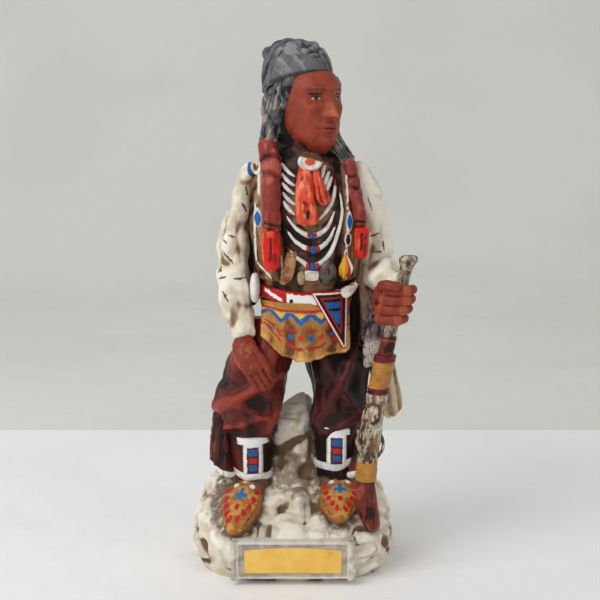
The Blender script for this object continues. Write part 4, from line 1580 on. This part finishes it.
def head_surface():
    """The neck's circle or the skull's ellipse at each height, whichever reaches further; then the forms of
    the face pushed forward as bells; then the flat seat, in to the mouth, and down the mouth."""
    share = np.linspace(0, 2 * np.pi, 340, endpoint=False)
    angle = -np.pi / 2 + (share - 0.62 * np.sin(share))
    z = np.concatenate([np.linspace(-14, -4, 14)[:-1], np.linspace(-4, 56, 270)])[:, None]
    _, back, width, depth = (v[:, None] for v in eased(SKULL_SHARES, np.clip(z[:, 0] / 50, -0.10, 1.10)).T)
    skull = reach(0 * back, 48 * back, 20 * width, 24 * depth, angle)
    skull = np.where(z < -4.9, 0, skull)
    neck = 14.0 - 0.10 * np.clip(z + 2, -6, 14) + 0 * angle
    blend = np.clip((skull - neck) / 3.0 + 0.5, 0, 1)
    radius = neck + (skull - neck) * blend * blend * (3 - 2 * blend)
    x, y = radius * np.cos(angle), radius * np.sin(angle)
    up = z + 0 * x
    facing = np.clip(-np.sin(angle) * 1.6, 0, 1)
    hairline = np.clip((up - seat(y) + 9) / 9, 0, 1) ** 1.5
    x, y = x * (1 - 0.18 * hairline * facing), y * (1 - 0.20 * hairline * facing)
    forward = np.zeros_like(x)
    for at, high, wide, tall, out in FACE_FORMS:
        for side in ((-1, 1) if at else (1,)):
            forward += out * np.exp(-((x - side * at) / wide) ** 2 - ((up - high) / tall) ** 2)
    bridge = np.interp(up, [17.6, 19.0, 21.0, 23.0, 30.0, 35.5, 39.0], [0, 2.4, 7.4, 7.2, 3.6, 1.6, 0.0])
    narrow = np.interp(up, [17.0, 21.0, 30.0, 38.0], [3.0, 3.1, 2.2, 3.4])
    forward += bridge * np.exp(-np.abs(x / narrow) ** 2.2)
    forward *= facing
    local = np.stack([x, y - forward, up], -1)
    skin = 0.22 * rough(local, 4.0, 301) + 0.10 * rough(local, 1.4, 302)
    cords = 0.5 * np.exp(-((np.abs(x) - 6 - 0.3 * up) / 1.6) ** 2) * np.clip(-up / 6, 0, 1) * facing
    local = pushed(local, skin + cords)
    over = local[..., 2] >= seat(local[..., 1])
    first = np.argmax(over, axis=0)
    rim = local[first, np.arange(local.shape[1])]
    keep = np.arange(local.shape[0])[:, None] < first
    local = np.where(keep[..., None], local, rim)
    local[..., 2] = np.minimum(local[..., 2], seat(local[..., 1]))
    edge = local[-1]
    ring = np.stack([MOUTH_RADIUS * np.cos(angle), MOUTH_RADIUS * np.sin(angle)], -1)
    rows = []
    for share in np.linspace(0.02, 1, 14):
        flat = edge[:, :2] + (ring - edge[:, :2]) * share
        rows.append(np.column_stack([flat, seat(flat[:, 1]) - (0.15 if 0.1 < share < 0.9 else 0)]))
    for drop in (0.6, 2, 8, 16, 26, 30):
        bottom = SEAT_UP - drop - SEAT_SLOPE * ring[:, 1] * max(0.0, 1 - drop / 8)
        rows.append(np.column_stack([ring * (1 if drop < 27 else 0.6), bottom]))
    local = np.concatenate([local, np.array(rows)])
    pits = np.zeros(local.shape[:2])
    pits[:len(forward)] = forward * 0.055 + skin * 0.7
    crease = sum(depth * np.exp(-((np.abs(local[..., 0]) - at) / wide) ** 2
                                - ((local[..., 2] - high) / tall) ** 2)
                 for at, high, wide, tall, depth in ((6.4, 17.8, 1.2, 2.4, 0.20), (0.0, 13.25, 6.0, 0.4, 0.5),
                                                    (8.6, 34.6, 4.2, 0.9, 0.35)))
    crease = crease * (local[..., 1] < -6)
    shade = ((0.42 * np.clip((7 - local[..., 2]) / 7, 0, 1) + 0.3 * np.clip((local[..., 1] + 2) / 6, 0, 1))
             * np.clip((local[..., 1] + 16) / 5, 0, 1))
    relief = np.clip(0.48 + pits - crease - shade, 0, 1)
    relief[-6:] = 0.05
    mouth_rows = np.zeros_like(relief)
    mouth_rows[len(forward):] = 1
    return patch(turned(local), relief=relief, face_across=local[..., 0], face_up=local[..., 2],
                 facing=(local[..., 1] < -8) * 1.0, bare=mouth_rows)


def face_paint(place, colour):
    """Almond eyes: a warm white, a dark brown round under the upper lid, and a dark line along each lid."""
    across, up, facing = mark(place, "face_across"), mark(place, "face_up"), mark(place, "facing")
    off = abs(across) - 8.5
    almond = 1 - off * off / 13.5
    lid, low = almond * 1.25 + 31.7, 31.9 - almond * 0.95
    eye = (lid - up).least(up - low)
    front = facing.rise(0.4, 0.6)
    colour = coat(ink(196, 176, 156), colour, eye.rise(0.05, 0.35) * front)
    iris = (off * off + (up - 32.1) * (up - 32.1)).rise(1.9, 1.1)
    colour = coat(ink(32, 18, 14), colour, iris * eye.rise(0.0, 0.25) * front)
    line = abs(lid - up).rise(0.5, 0.25) * off.rise(3.9, 3.2) * off.rise(-3.9, -3.2)
    colour = coat(ink(44, 20, 16), colour, line * front)
    lips = (abs(across) / 6.2).most(abs(up - 13.1) / 2.6).rise(1.0, 0.75)
    colour = coat(ink(132, 54, 42), colour, lips * front * 0.5)
    brow = abs(up - 37.6 + off * off * 0.03).rise(0.9, 0.4) * off.rise(5.2, 4.0) * off.rise(-5.0, -4.0)
    colour = coat(ink(54, 26, 20), colour, brow * front * 0.55)
    return coat(ink(214, 204, 188), colour, mark(place, "bare"))


face_finish = antiqued("terracotta_face", *SKIN, face_paint, wash_at=0.40, rub_at=0.66, matt=0.46, tooth=0.04)
make("head_cast", [head_surface()], face_finish, "skin", "head")

# Hair below the seat, a lock from each temple, and the wrapped braids.
# The hair is cast with the head and painted black, brushed with grey along its combed strands. The braids
# are solid castings that hang in front of the shoulders: a wine cloth wrap, then a scarlet end.
HAIR_SHARES = [(-0.30, 0.0, 0.02, 0.34, 0.26), (-0.16, 0.0, 0.00, 0.66, 0.60), (0.10, 0.0, 0.00, 0.86, 0.84),
               (0.40, 0.0, 0.00, 1.00, 1.00), (0.70, 0.0, 0.00, 1.00, 1.00), (1.10, 0.0, 0.00, 0.94, 0.96)]


def combed(around, along, seed, wide=1.5, long=16.0):
    """Combed strands: ridges drawn out along the hair, over wider waves."""
    around, along = np.broadcast_arrays(around, along)
    probe = np.stack([around, 0 * around, along], -1)
    return (1.5 * (creased(probe, (wide * 1.6, 9, long), seed, 2) - 0.45)
            + 0.7 * rough(probe, (5, 9, long), seed + 5, 2)
            + 0.25 * rough(probe, (wide * 0.6, 9, long * 0.7), seed + 8, 2))


def hair_surface():
    """A ring of hair up to the slanting seat that goes under the skull's surface where the face is, then
    turns in below the seat and comes down again inside the head, to close on its own first row."""
    share = np.linspace(0, 2 * np.pi, 300, endpoint=False)
    angle = np.pi / 2 + share - 0.3 * np.sin(share)
    t = np.linspace(0, 1, 150)[:, None]
    top = np.full((1, len(angle)), SEAT_UP)
    for _ in range(4):
        _, back, width, depth = eased(HAIR_SHARES, top[0] / 50).T
        y = 4.3 + 60 * back + 30 * depth * np.sin(angle)
        top = np.minimum(seat(y), 55)[None]
    z = -15 + (top + 15) * t
    _, back, width, depth = (v.reshape(z.shape) for v in eased(HAIR_SHARES, z.ravel() / 50).T)
    x = 23.5 * width * np.cos(angle)
    y = 4.3 + 60 * back + 30 * depth * np.sin(angle)
    strands = combed(angle * 26, z - 0.25 * y, 311, 1.8, 9.0)
    tucked = 1 - 0.10 * np.clip((t - 0.86) / 0.14, 0, 1) ** 2
    outer = pushed(np.stack([x * tucked, 4.3 + (y - 4.3) * tucked, z], -1),
                   strands * np.clip((1 - t) * 12, 0.3, 1) * np.clip(t * 8, 0, 1))
    edge = np.interp(z, [-15, 4, 16, 26, 36, 50], [9.0, 8.0, 3.0, -4.0, -7.0, -8.0]) - 1.0 * np.sin(z / 5)
    hidden = np.clip((edge - outer[..., 1]) / 2.2, 0, 1)
    hidden = hidden * hidden * (3 - 2 * hidden)
    _, skull_back, skull_width, skull_depth = (v.reshape(z.shape) for v in
                                               eased(SKULL_SHARES, np.clip(z.ravel() / 50, -0.1, 1.1)).T)
    under = np.stack([20 * skull_width * 0.82 * np.cos(angle),
                      48 * skull_back + 24 * skull_depth * 0.82 * np.sin(angle), z], -1)
    outer = outer + (under - outer) * hidden[..., None]
    outer[..., 2] = np.minimum(outer[..., 2], seat(outer[..., 1]) - 0.05)
    inward = outer[-1] * [0.80, 0.80, 1] - [0, 0, 0.4]
    inward[:, 2] = seat(inward[:, 1]) - 0.4
    inner = np.stack([inward, inward - [0, 0, 6], outer[0] * [0.6, 0.6, 1] + [0, 0, 8]])
    local = np.concatenate([outer, inner, outer[:1]])
    shade = np.clip(hidden * 3, 0, 1) * np.clip((30 - z) / 8, 0, 1)
    relief = np.concatenate([level_of(strands) * (1 - shade), np.full((4, 300), 0.3)])
    return patch(turned(local), True, (False, False), relief=relief)


HAIR_INK = ((96, 96, 96), (22, 20, 21), (164, 156, 140))
hair_finish = antiqued("black_brushed_hair", *HAIR_INK, wash_at=0.40, rub_at=0.60, matt=0.62, tooth=0.06)
make("hair_cast", [hair_surface()], hair_finish, "hair", "hair")

LOCKS = {"right": [(-0.236, -0.10, 1.295), (-0.264, -0.16, 1.212), (-0.307, -0.20, 1.121)],
         "left": [(0.229, 0.06, 1.167), (0.250, -0.02, 1.061), (0.314, -0.08, 0.985)]}
LOCK_WIDE = {"right": [8.0, 13.0, 11.0, 10.4], "left": [5.0, 7.0, 8.6, 8.4]}
BRAIDS = {"right": [(-0.343, -0.20, 1.015), (-0.307, -0.42, 0.826), (-0.314, -0.54, 0.606),
                    (-0.303, -0.58, 0.41)],
          "left": [(0.396, -0.16, 0.924), (0.470, -0.34, 0.740), (0.507, -0.40, 0.615),
                   (0.509, -0.42, 0.462)]}
WRAP = {"right": [11.0, 12.2, 11.4, 11.2], "left": [5.6, 7.2, 7.4, 8.2]}
TAIL = {"right": [11.0, 12.6, 10.4], "left": [9.4, 8.8, 8.0]}
wrap_finish = antiqued("wine_cloth_wrap", (146, 56, 50), (48, 18, 18), (192, 100, 84), wash_at=0.30,
                       rub_at=0.60, matt=0.45)


def scarlet_paint(place, colour):
    """An orange edge on the outer side of the tail, and a dark stroke down the middle of its front."""
    loose = (grain(place, 2.0, 3.0) - 0.5) * 1.1
    colour = coat(ink(232, 116, 56), colour, (mark(place, "edge") + loose).rise(0.55, 0.8) * 0.8)
    return coat(ink(34, 26, 34), colour, (mark(place, "stroke") + loose).rise(0.5, 0.72) * 0.9)


scarlet_finish = antiqued("scarlet_enamel", (222, 38, 26), (124, 16, 14), (238, 92, 58), scarlet_paint,
                          wash_at=0.24, rub_at=0.74, matt=0.2, tooth=0.02)
for side, sign in (("right", -1), ("left", 1)):
    top, waist, joint, tip = [torso_point(*row) for row in BRAIDS[side]]
    lock_path = [torso_point(*row) for row in LOCKS[side]] + [top]
    lock = tube(lock_path, LOCK_WIDE[side], LOCK_WIDE[side], 150, 110, dome=(0.10, 0.02))
    around = turns(110)
    twist = lock[..., 2] / 5.0
    plait = 0.9 * np.abs(np.sin(around * 1.5 + twist * sign)) ** 0.7
    height = plait + combed(around * 7, lock[..., 2] + around * 2, 321, 1.7, 6.0) * 0.8 - 0.6
    lock = pushed(lock, height)
    local_back = (-(lock[..., 0] - HEAD_AT[0]) * np.sin(HEAD_TURN)
                  + (lock[..., 1] - HEAD_AT[1]) * np.cos(HEAD_TURN))
    lock[..., 2] = np.minimum(lock[..., 2], HEAD_AT[2] + seat(local_back) - 0.1)
    make("hair_lock_" + side + "_cast", [patch(lock, relief=level_of(height))], hair_finish, "hair",
         "hair_lock_" + side)
    wrap = tube([top + (top - waist) * 0.16, top, waist, joint], WRAP[side], WRAP[side], 170, 120,
                dome=(0.09, 0.05))
    around = turns(120)
    length = np.linspace(0, 1, 170)[:, None]
    ties = sum(-1.1 * np.exp(-((length - at - 0.03 * np.sin(around * sign + lean)) / 0.022) ** 2)
               for at, lean in ((0.33, 0.0), (0.47, 1.0), (0.90, 2.0)))
    height = ties + 1.2 * (creased(wrap, (9, 9, 19), 331, 2) - 0.4) + 0.12 * rough(wrap, 2.6, 332)
    make("braid_wrap_" + side + "_cast", [cast(wrap, height)], wrap_finish, "wrap",
         "braid_wrap_" + side)
    middle = (joint + tip) / 2
    loose = tube([joint, middle, tip], TAIL[side], [10.2, 10.6, 8.0], 130, 110, dome=(0.06, 0.20))
    around, length = turns(110), np.linspace(0, 1, 130)[:, None]
    aside, ahead = np.cos(around), np.sin(around)
    slot_deep, slot_wide = (0.30, 0.14) if side == "right" else (0.16, 0.34)
    stroke = ((ahead > 0) * np.exp(-((aside - 0.05 + 0.15 * length) / slot_wide) ** 2)
              * np.clip((length - 0.12) * 9, 0, 1) * np.clip((0.74 - length) * 9, 0, 1))
    cleft = -1.3 * stroke * slot_deep * 3
    height = 0.7 * (creased(loose, (7, 7, 18), 341, 2) - 0.4) + 0.10 * rough(loose, 2.4, 342)
    edge = np.clip(1 - np.abs(aside + 0.86) / 0.25, 0, 1) * np.clip((0.8 - length) * 6, 0, 1)
    make("braid_tail_" + side, [patch(pushed(loose, height + cleft), relief=level_of(height), stroke=stroke,
                                      edge=edge)],
         scarlet_finish, "scarlet", "braid_end_" + side)

# Neck and chest: the shell gorget, the scarf, and the necklaces with their drops.
# Modelled on the chest in slip and picked out in enamel: a round shell at the throat, an orange-red scarf
# with two ends, ribs of bone on each side of it, and three crescents of bone hung below.
gorget_at = torso_point(0.040, -0.43, 0.931)


def gorget():
    """A shallow disc that faces the front: rings that step forward to a boss in the middle."""
    angle = turns(110)
    share = np.concatenate([[1.0, 1.0], np.linspace(1, 0.03, 40)])[:, None]
    step = np.concatenate([[7.0, 1.5], 0.8 * np.sqrt(1 - np.linspace(1, 0.03, 40) ** 4)])[:, None]
    rim, boss = np.exp(-((share[2:] - 0.80) / 0.09) ** 2), np.exp(-(share[2:] / 0.42) ** 2)
    step[2:] = -step[2:] - 0.7 * rim - 1.2 * boss
    x, z = gorget_at[0] + 7.8 * share * np.cos(angle), gorget_at[2] + 5.6 * share * np.sin(angle)
    grid = np.stack([x, gorget_at[1] - 4.0 + step + 0 * angle, z], -1)
    dents = 0.2 * rough(grid, 3, 351)
    return patch(pushed(grid, dents), relief=0.55 + dents, share=share)


def gorget_paint(place, colour):
    x, _, z = axes(place, 0.5, 3.0)
    share = mark(place, "share") + (grain(place, 2.5, 2.0) - 0.5) * 0.15
    up = z - gorget_at[2] + (x - gorget_at[0]) * 0.25
    colour = coat(ink(92, 60, 44), colour, up.rise(1.0, 2.2) * grain(place, 3.0, 3.0).rise(0.2, 0.4))
    return coat(ink(214, 84, 46), colour, share.rise(0.46, 0.38))


gorget_finish = antiqued("shell_gorget", (234, 230, 220), (110, 70, 50), (250, 248, 242), gorget_paint,
                         wash_at=0.26, rub_at=0.8, matt=0.34)
make("neck_gorget_shell", [gorget()], gorget_finish, "beads", "neck_gorget")


def scarf_paint(place, colour):
    """Paler orange strokes down the folds, and a dark pit where the two ends part."""
    x, _, z = axes(place, 0.8, 3.0)
    drawn_out = place.node("ShaderNodeVectorMath", {"operation": "MULTIPLY"}, {0: place, 1: (1.0, 1.0, 0.25)})
    colour = coat(ink(240, 146, 90), colour, grain(drawn_out, 2.6, 2.0).rise(0.56, 0.66) * 0.7)
    pit = ((x - 9.6) * (x - 9.6) / 1.6 + (z - 236.5) * (z - 236.5) / 12.0).rise(1.2, 0.5)
    return coat(ink(40, 14, 12), colour, pit)


scarf_finish = antiqued("orange_red_scarf", (224, 74, 46), (120, 30, 22), (242, 128, 90), scarf_paint,
                        wash_at=0.26, rub_at=0.66, matt=0.3, tooth=0.02)
SCARF_LONG = [(0.030, -0.60, 0.636, 0.88, 0.70), (0.015, -0.57, 0.70, 0.86, 0.90),
              (-0.005, -0.50, 0.82, 0.68, 0.80), (0.000, -0.42, 0.91, 0.52, 0.60)]
SCARF_SHORT = [(0.165, -0.55, 0.735, 0.42, 0.55), (0.150, -0.54, 0.775, 0.46, 0.60),
               (0.110, -0.48, 0.85, 0.28, 0.50), (0.085, -0.42, 0.90, 0.26, 0.50)]
ends = []
for shares, seed in ((SCARF_LONG, 361), (SCARF_SHORT, 371)):
    end = hanging(shares, 16.0, 12.0, 130, 120, (0.10, 0.03))
    around, length = turns(120), np.linspace(0, 1, 130)[:, None]
    flutes = 0.55 * np.sin(around * 4 + 0.8 * np.sin(length * 5 + seed)) * (1 - 0.6 * length)
    height = flutes + 0.9 * (creased(end, (7, 7, 16), seed, 2) - 0.45) + 0.10 * rough(end, 2.4, seed + 1)
    ends.append(cast(end, height))
make("neck_scarf_cast", ends, scarf_finish, "scarlet", "neck_scarf")

# A crescent or a rib: the points on the chest that it passes through, across and up, a rib's from its outer
# end
CRESCENTS = [[(-5.0, 236.2), (2.5, 226.9), (12.1, 222.6), (21.5, 227.6), (26.9, 239.4)],
             [(-4.3, 226.5), (2.6, 218.3), (12.8, 213.8), (21.6, 218.6), (27.3, 229.4)],
             [(-3.7, 215.4), (1.6, 209.6), (6.6, 205.8), (12.5, 202.8), (23.6, 211.5), (30.8, 234.0),
              (29.4, 252.0)]]
RIBS = [[(-8.2, 268.6), (-4.0, 263.0), (1.6, 259.0)], [(-8.2, 262.4), (-3.8, 257.0), (1.6, 253.4)],
        [(-8.0, 256.6), (-3.6, 251.6), (1.6, 248.0)], [(-7.6, 251.0), (-3.4, 245.6), (1.8, 241.8)],
        [(-7.0, 245.4), (-3.0, 239.6), (1.6, 235.4)], [(20.6, 267.2), (19.0, 262.6), (18.2, 257.6)],
        [(23.4, 263.6), (21.2, 258.0), (19.2, 252.6)], [(25.2, 260.4), (22.8, 254.6), (20.4, 248.6)],
        [(26.6, 257.6), (26.4, 250.4), (24.4, 243.2), (20.6, 237.2), (16.2, 232.4)]]


def chest_tube(x, z, widths, proud, rows=100, columns=24, dome=(0.05, 0.05)):
    """A tube that lies on the front of the torso along a line drawn in front view."""
    return tube(on_torso(x, z, proud), widths, widths, rows, columns, (0, 0, 1), dome)


def necklaces():
    """Crescents: smooth lines through their points, thick at the bottom and drawn out to thin tips; and short
    ribs that slant down to the scarf, thick at the inner end."""
    pieces = []
    for index, points in enumerate(CRESCENTS):
        share = np.linspace(-1, 1, len(points))
        x, z = eased(np.column_stack([share, points]), np.linspace(-1, 1, 25)).T
        grid = chest_tube(x, z, 0.7 + 2.6 * np.cos(np.linspace(-1, 1, 25) * np.pi / 2), 1.5, 170)
        tip = np.abs(np.linspace(-1, 1, 170))[:, None]
        height = 0.12 * rough(grid, 2, 381 + index)
        pieces.append(patch(pushed(grid, height), relief=level_of(height) * 0.6 + 0.3, tip=tip))
    for index, points in enumerate(RIBS):
        t = np.linspace(0, 1, 11)
        x, z = eased(np.column_stack([np.linspace(0, 1, len(points)), points]), t).T
        grid = chest_tube(x, z, 0.8 + 1.9 * np.sin(np.pi * t) ** 0.8, 1.4, 60)
        height = 0.12 * rough(grid, 2, 391 + index)
        tip = np.linspace(1.08, 0, 60)[:, None]
        pieces.append(patch(pushed(grid, height), relief=level_of(height) * 0.6 + 0.3, tip=tip))
    return pieces


def bone_tips(place, colour):
    tip = mark(place, "tip") + (grain(place, 3.0, 2.0) - 0.5) * 0.12
    return coat(ink(170, 30, 30), colour, tip.rise(0.82, 0.88))


bone_finish = antiqued("white_bone_beads", (238, 236, 228), (96, 62, 46), (252, 251, 247), bone_tips,
                       wash_at=0.24, rub_at=0.7, matt=0.36)
make("necklace_bones", necklaces(), bone_finish, "beads", "necklace_strands")


def drops():
    """An oval boss at the bottom of three crescents, with a smaller round on each side of it."""
    pieces = []
    for points, size in zip(CRESCENTS, (0.72, 1.0, 1.0)):
        x, z = points[len(points) // 2]
        for shift, wide, tall, tone in ((0.0, 5.0, 5.2, 0.0), (-2.9, 3.0, 4.2, 1.0), (2.9, 3.0, 4.2, 1.0)):
            at = on_torso(np.array([x + shift * size]), np.array([z + 0.2 * abs(shift)]), 2.6)[0]
            grid = lump(at, wide * size, 4.6, tall * size, 36, 48)
            pieces.append(patch(pushed(grid, 0.15 * rough(grid, 2, 391)), relief=0.5, tone=tone))
    return pieces


def drop_paint(place, colour):
    return coat(ink(186, 34, 32), colour, mark(place, "tone"))


drop_finish = antiqued("blue_red_drops", (26, 98, 168), (20, 30, 60), (90, 150, 200), drop_paint,
                       wash_at=0.2, rub_at=0.8, matt=0.22)
make("necklace_drops", drops(), drop_finish, "beads", "necklace_centrepieces")

# Stopper: the crown of the hair, a peg and a cork.
# The crown is a thin porcelain shell that sits on the slanting seat, matt grey-black with combed strands
# swept up and back from the brow to a knot behind. A peg under it holds the cork that seals the mouth.
# The crown's oval: middle, half width, half depth; and its height at its middle, which falls towards the brow
CROWN = ((-1.2, 9.0), 22.4, 23.5, 29.0)
KNOT = (-10.0, 28.0, 60.0, 4.4)


def crown_wall(proud, rows):
    """Rings from the seat's plane to the top: over an angle of rise, the oval narrows by its cosine to a
    power, and the height over the slanting plane grows by its sine to a power."""
    angle, rise = turns(260), np.linspace(0, np.pi / 2, rows)[:, None]
    narrow = np.clip(np.cos(rise), 1e-4, 1) ** 0.7
    x = CROWN[0][0] + (CROWN[1] + proud) * narrow * np.cos(angle)
    y = CROWN[0][1] + 2.5 * np.sin(rise) + (CROWN[2] + proud) * narrow * np.sin(angle)
    tall = CROWN[3] + proud + 0.42 * (y - CROWN[0][1] - 2.5)
    return np.stack([x, y, seat(y) + 0.3 + tall * np.sin(rise) ** 0.8], -1)


def crown_surface():
    """Down the inside, round the lip and up the outside, where strands are combed up and back from the brow
    and rise in tufts along the top, with the knot swelling out behind."""
    outer = crown_wall(0.0, 200)
    inner = crown_wall(-3.5, 40)[::-1]
    x, y, z = np.moveaxis(outer, -1, 0)
    ahead = np.clip((11 - y) / 8, 0, 1)
    across = (y + 0.83 * z) * 0.77 * (1 - ahead) + (x + 0.5 * z) * ahead
    strands = combed(across + x * 0.3, (z - 0.83 * y) * 0.77, 401, 3.2, 24.0) * 0.45
    tufts = 1.7 * (creased(outer, (6, 6, 5), 402, 2) - 0.4) * ahead * np.clip((z - 52) / 8, 0, 1)
    scallops = 0.7 * np.abs(np.sin((x * 0.81 - y * 0.59) / 2.6)) * np.clip((z - 60) / 5, 0, 1)
    away = np.sqrt(((outer - np.array(KNOT[:3])) ** 2).sum(-1))
    knot = 4.6 * np.exp(-(away / KNOT[3]) ** 4) - 0.9 * np.exp(-((away - KNOT[3] * 1.35) / 1.0) ** 2)
    over = z - seat(y)
    lip = np.clip(np.linspace(0, 1, 200)[:, None] * 22, 0, 1)
    height = (strands + tufts + scallops + knot) * lip
    band = np.clip(1 - (over - 1.4) / 2.2, 0, 1) * (y < 8)
    outside = pushed(outer, height)
    outside[..., 2] = np.maximum(outside[..., 2], seat(outside[..., 1]) + 0.28)
    grid = np.concatenate([inner, outside])
    relief = np.concatenate([np.full(inner.shape[:2], 0.3), level_of(strands + 0.8 * tufts)])
    shaded = np.concatenate([np.zeros(inner.shape[:2]), band])
    inside = np.concatenate([np.ones(inner.shape[:2]), np.zeros(outer.shape[:2])])
    return patch(turned(grid), relief=relief, band=shaded, inside=inside)


def crown_paint(place, colour):
    """A blue-black shade along the lower front edge, and bare porcelain inside the shell."""
    band = mark(place, "band") + (grain(place, 4.0, 3.0) - 0.5) * 0.5
    colour = coat(ink(34, 36, 46), colour, band.rise(0.3, 0.8) * 0.7)
    return coat(ink(214, 208, 196), colour, mark(place, "inside"))


crown_finish = antiqued("grey_matt_crown", (112, 112, 115), (40, 40, 44), (150, 150, 150), crown_paint,
                        wash_at=0.36, rub_at=0.66, matt=0.75, tooth=0.1)
SEAT_Z = HEAD_AT[2] + SEAT_UP
CORK_FOOT = SEAT_Z - 18.0
peg = column((HEAD_AT[0], HEAD_AT[1], CORK_FOOT), (10.0, 10.0, 35.5),
             [(0, 0, 0, 1, 1), (0.5, 0, 0, 1, 1), (1, 0, 0, 1.1, 1.1)], 50, 60)
make("hair_crown_cast", [crown_surface(), patch(peg, relief=0.5, inside=1.0)], crown_finish, "crown",
     "hair_crown", body="stopper")


def cork_surface():
    """A cylinder with eased rims, pricked with small pits, and a ring of wear round it."""
    angle, t = turns(120), np.linspace(0, 1, 70)[:, None]
    rim = 0.5 * (np.clip(1 - t * 18, 0, 1) ** 2 + np.clip(1 - (1 - t) * 18, 0, 1) ** 2)
    wall = np.stack([(8.9 - rim) * np.cos(angle), (8.9 - rim) * np.sin(angle), 18 * t + 0 * angle], -1)
    shrink = np.linspace(0.06, 0.95, 12)[:, None, None]
    low = wall[0] * np.array([1, 1, 0]) * shrink
    high = wall[-1] * np.array([1, 1, 0]) * shrink[::-1] + np.array([0, 0, 18.0])
    grid = np.concatenate([low, wall, high]) + np.array([HEAD_AT[0], HEAD_AT[1], CORK_FOOT])
    pits = -0.5 * np.clip(lumps(grid, (1.6, 1.6, 0.9), 411) - 0.45, 0, 1) - 0.06 * rough(grid, 1.2, 412)
    return patch(pushed(grid, pits), relief=0.5 + pits * 1.6)


cork_finish = antiqued("natural_cork", (196, 152, 104), (104, 66, 40), (222, 186, 140), wash_at=0.40,
                       rub_at=0.62, matt=0.85, tooth=0.15, patchy=2.5)
make("stopper_cork_plug", [cork_surface()], cork_finish, "cork", "stopper_cork", body="stopper")
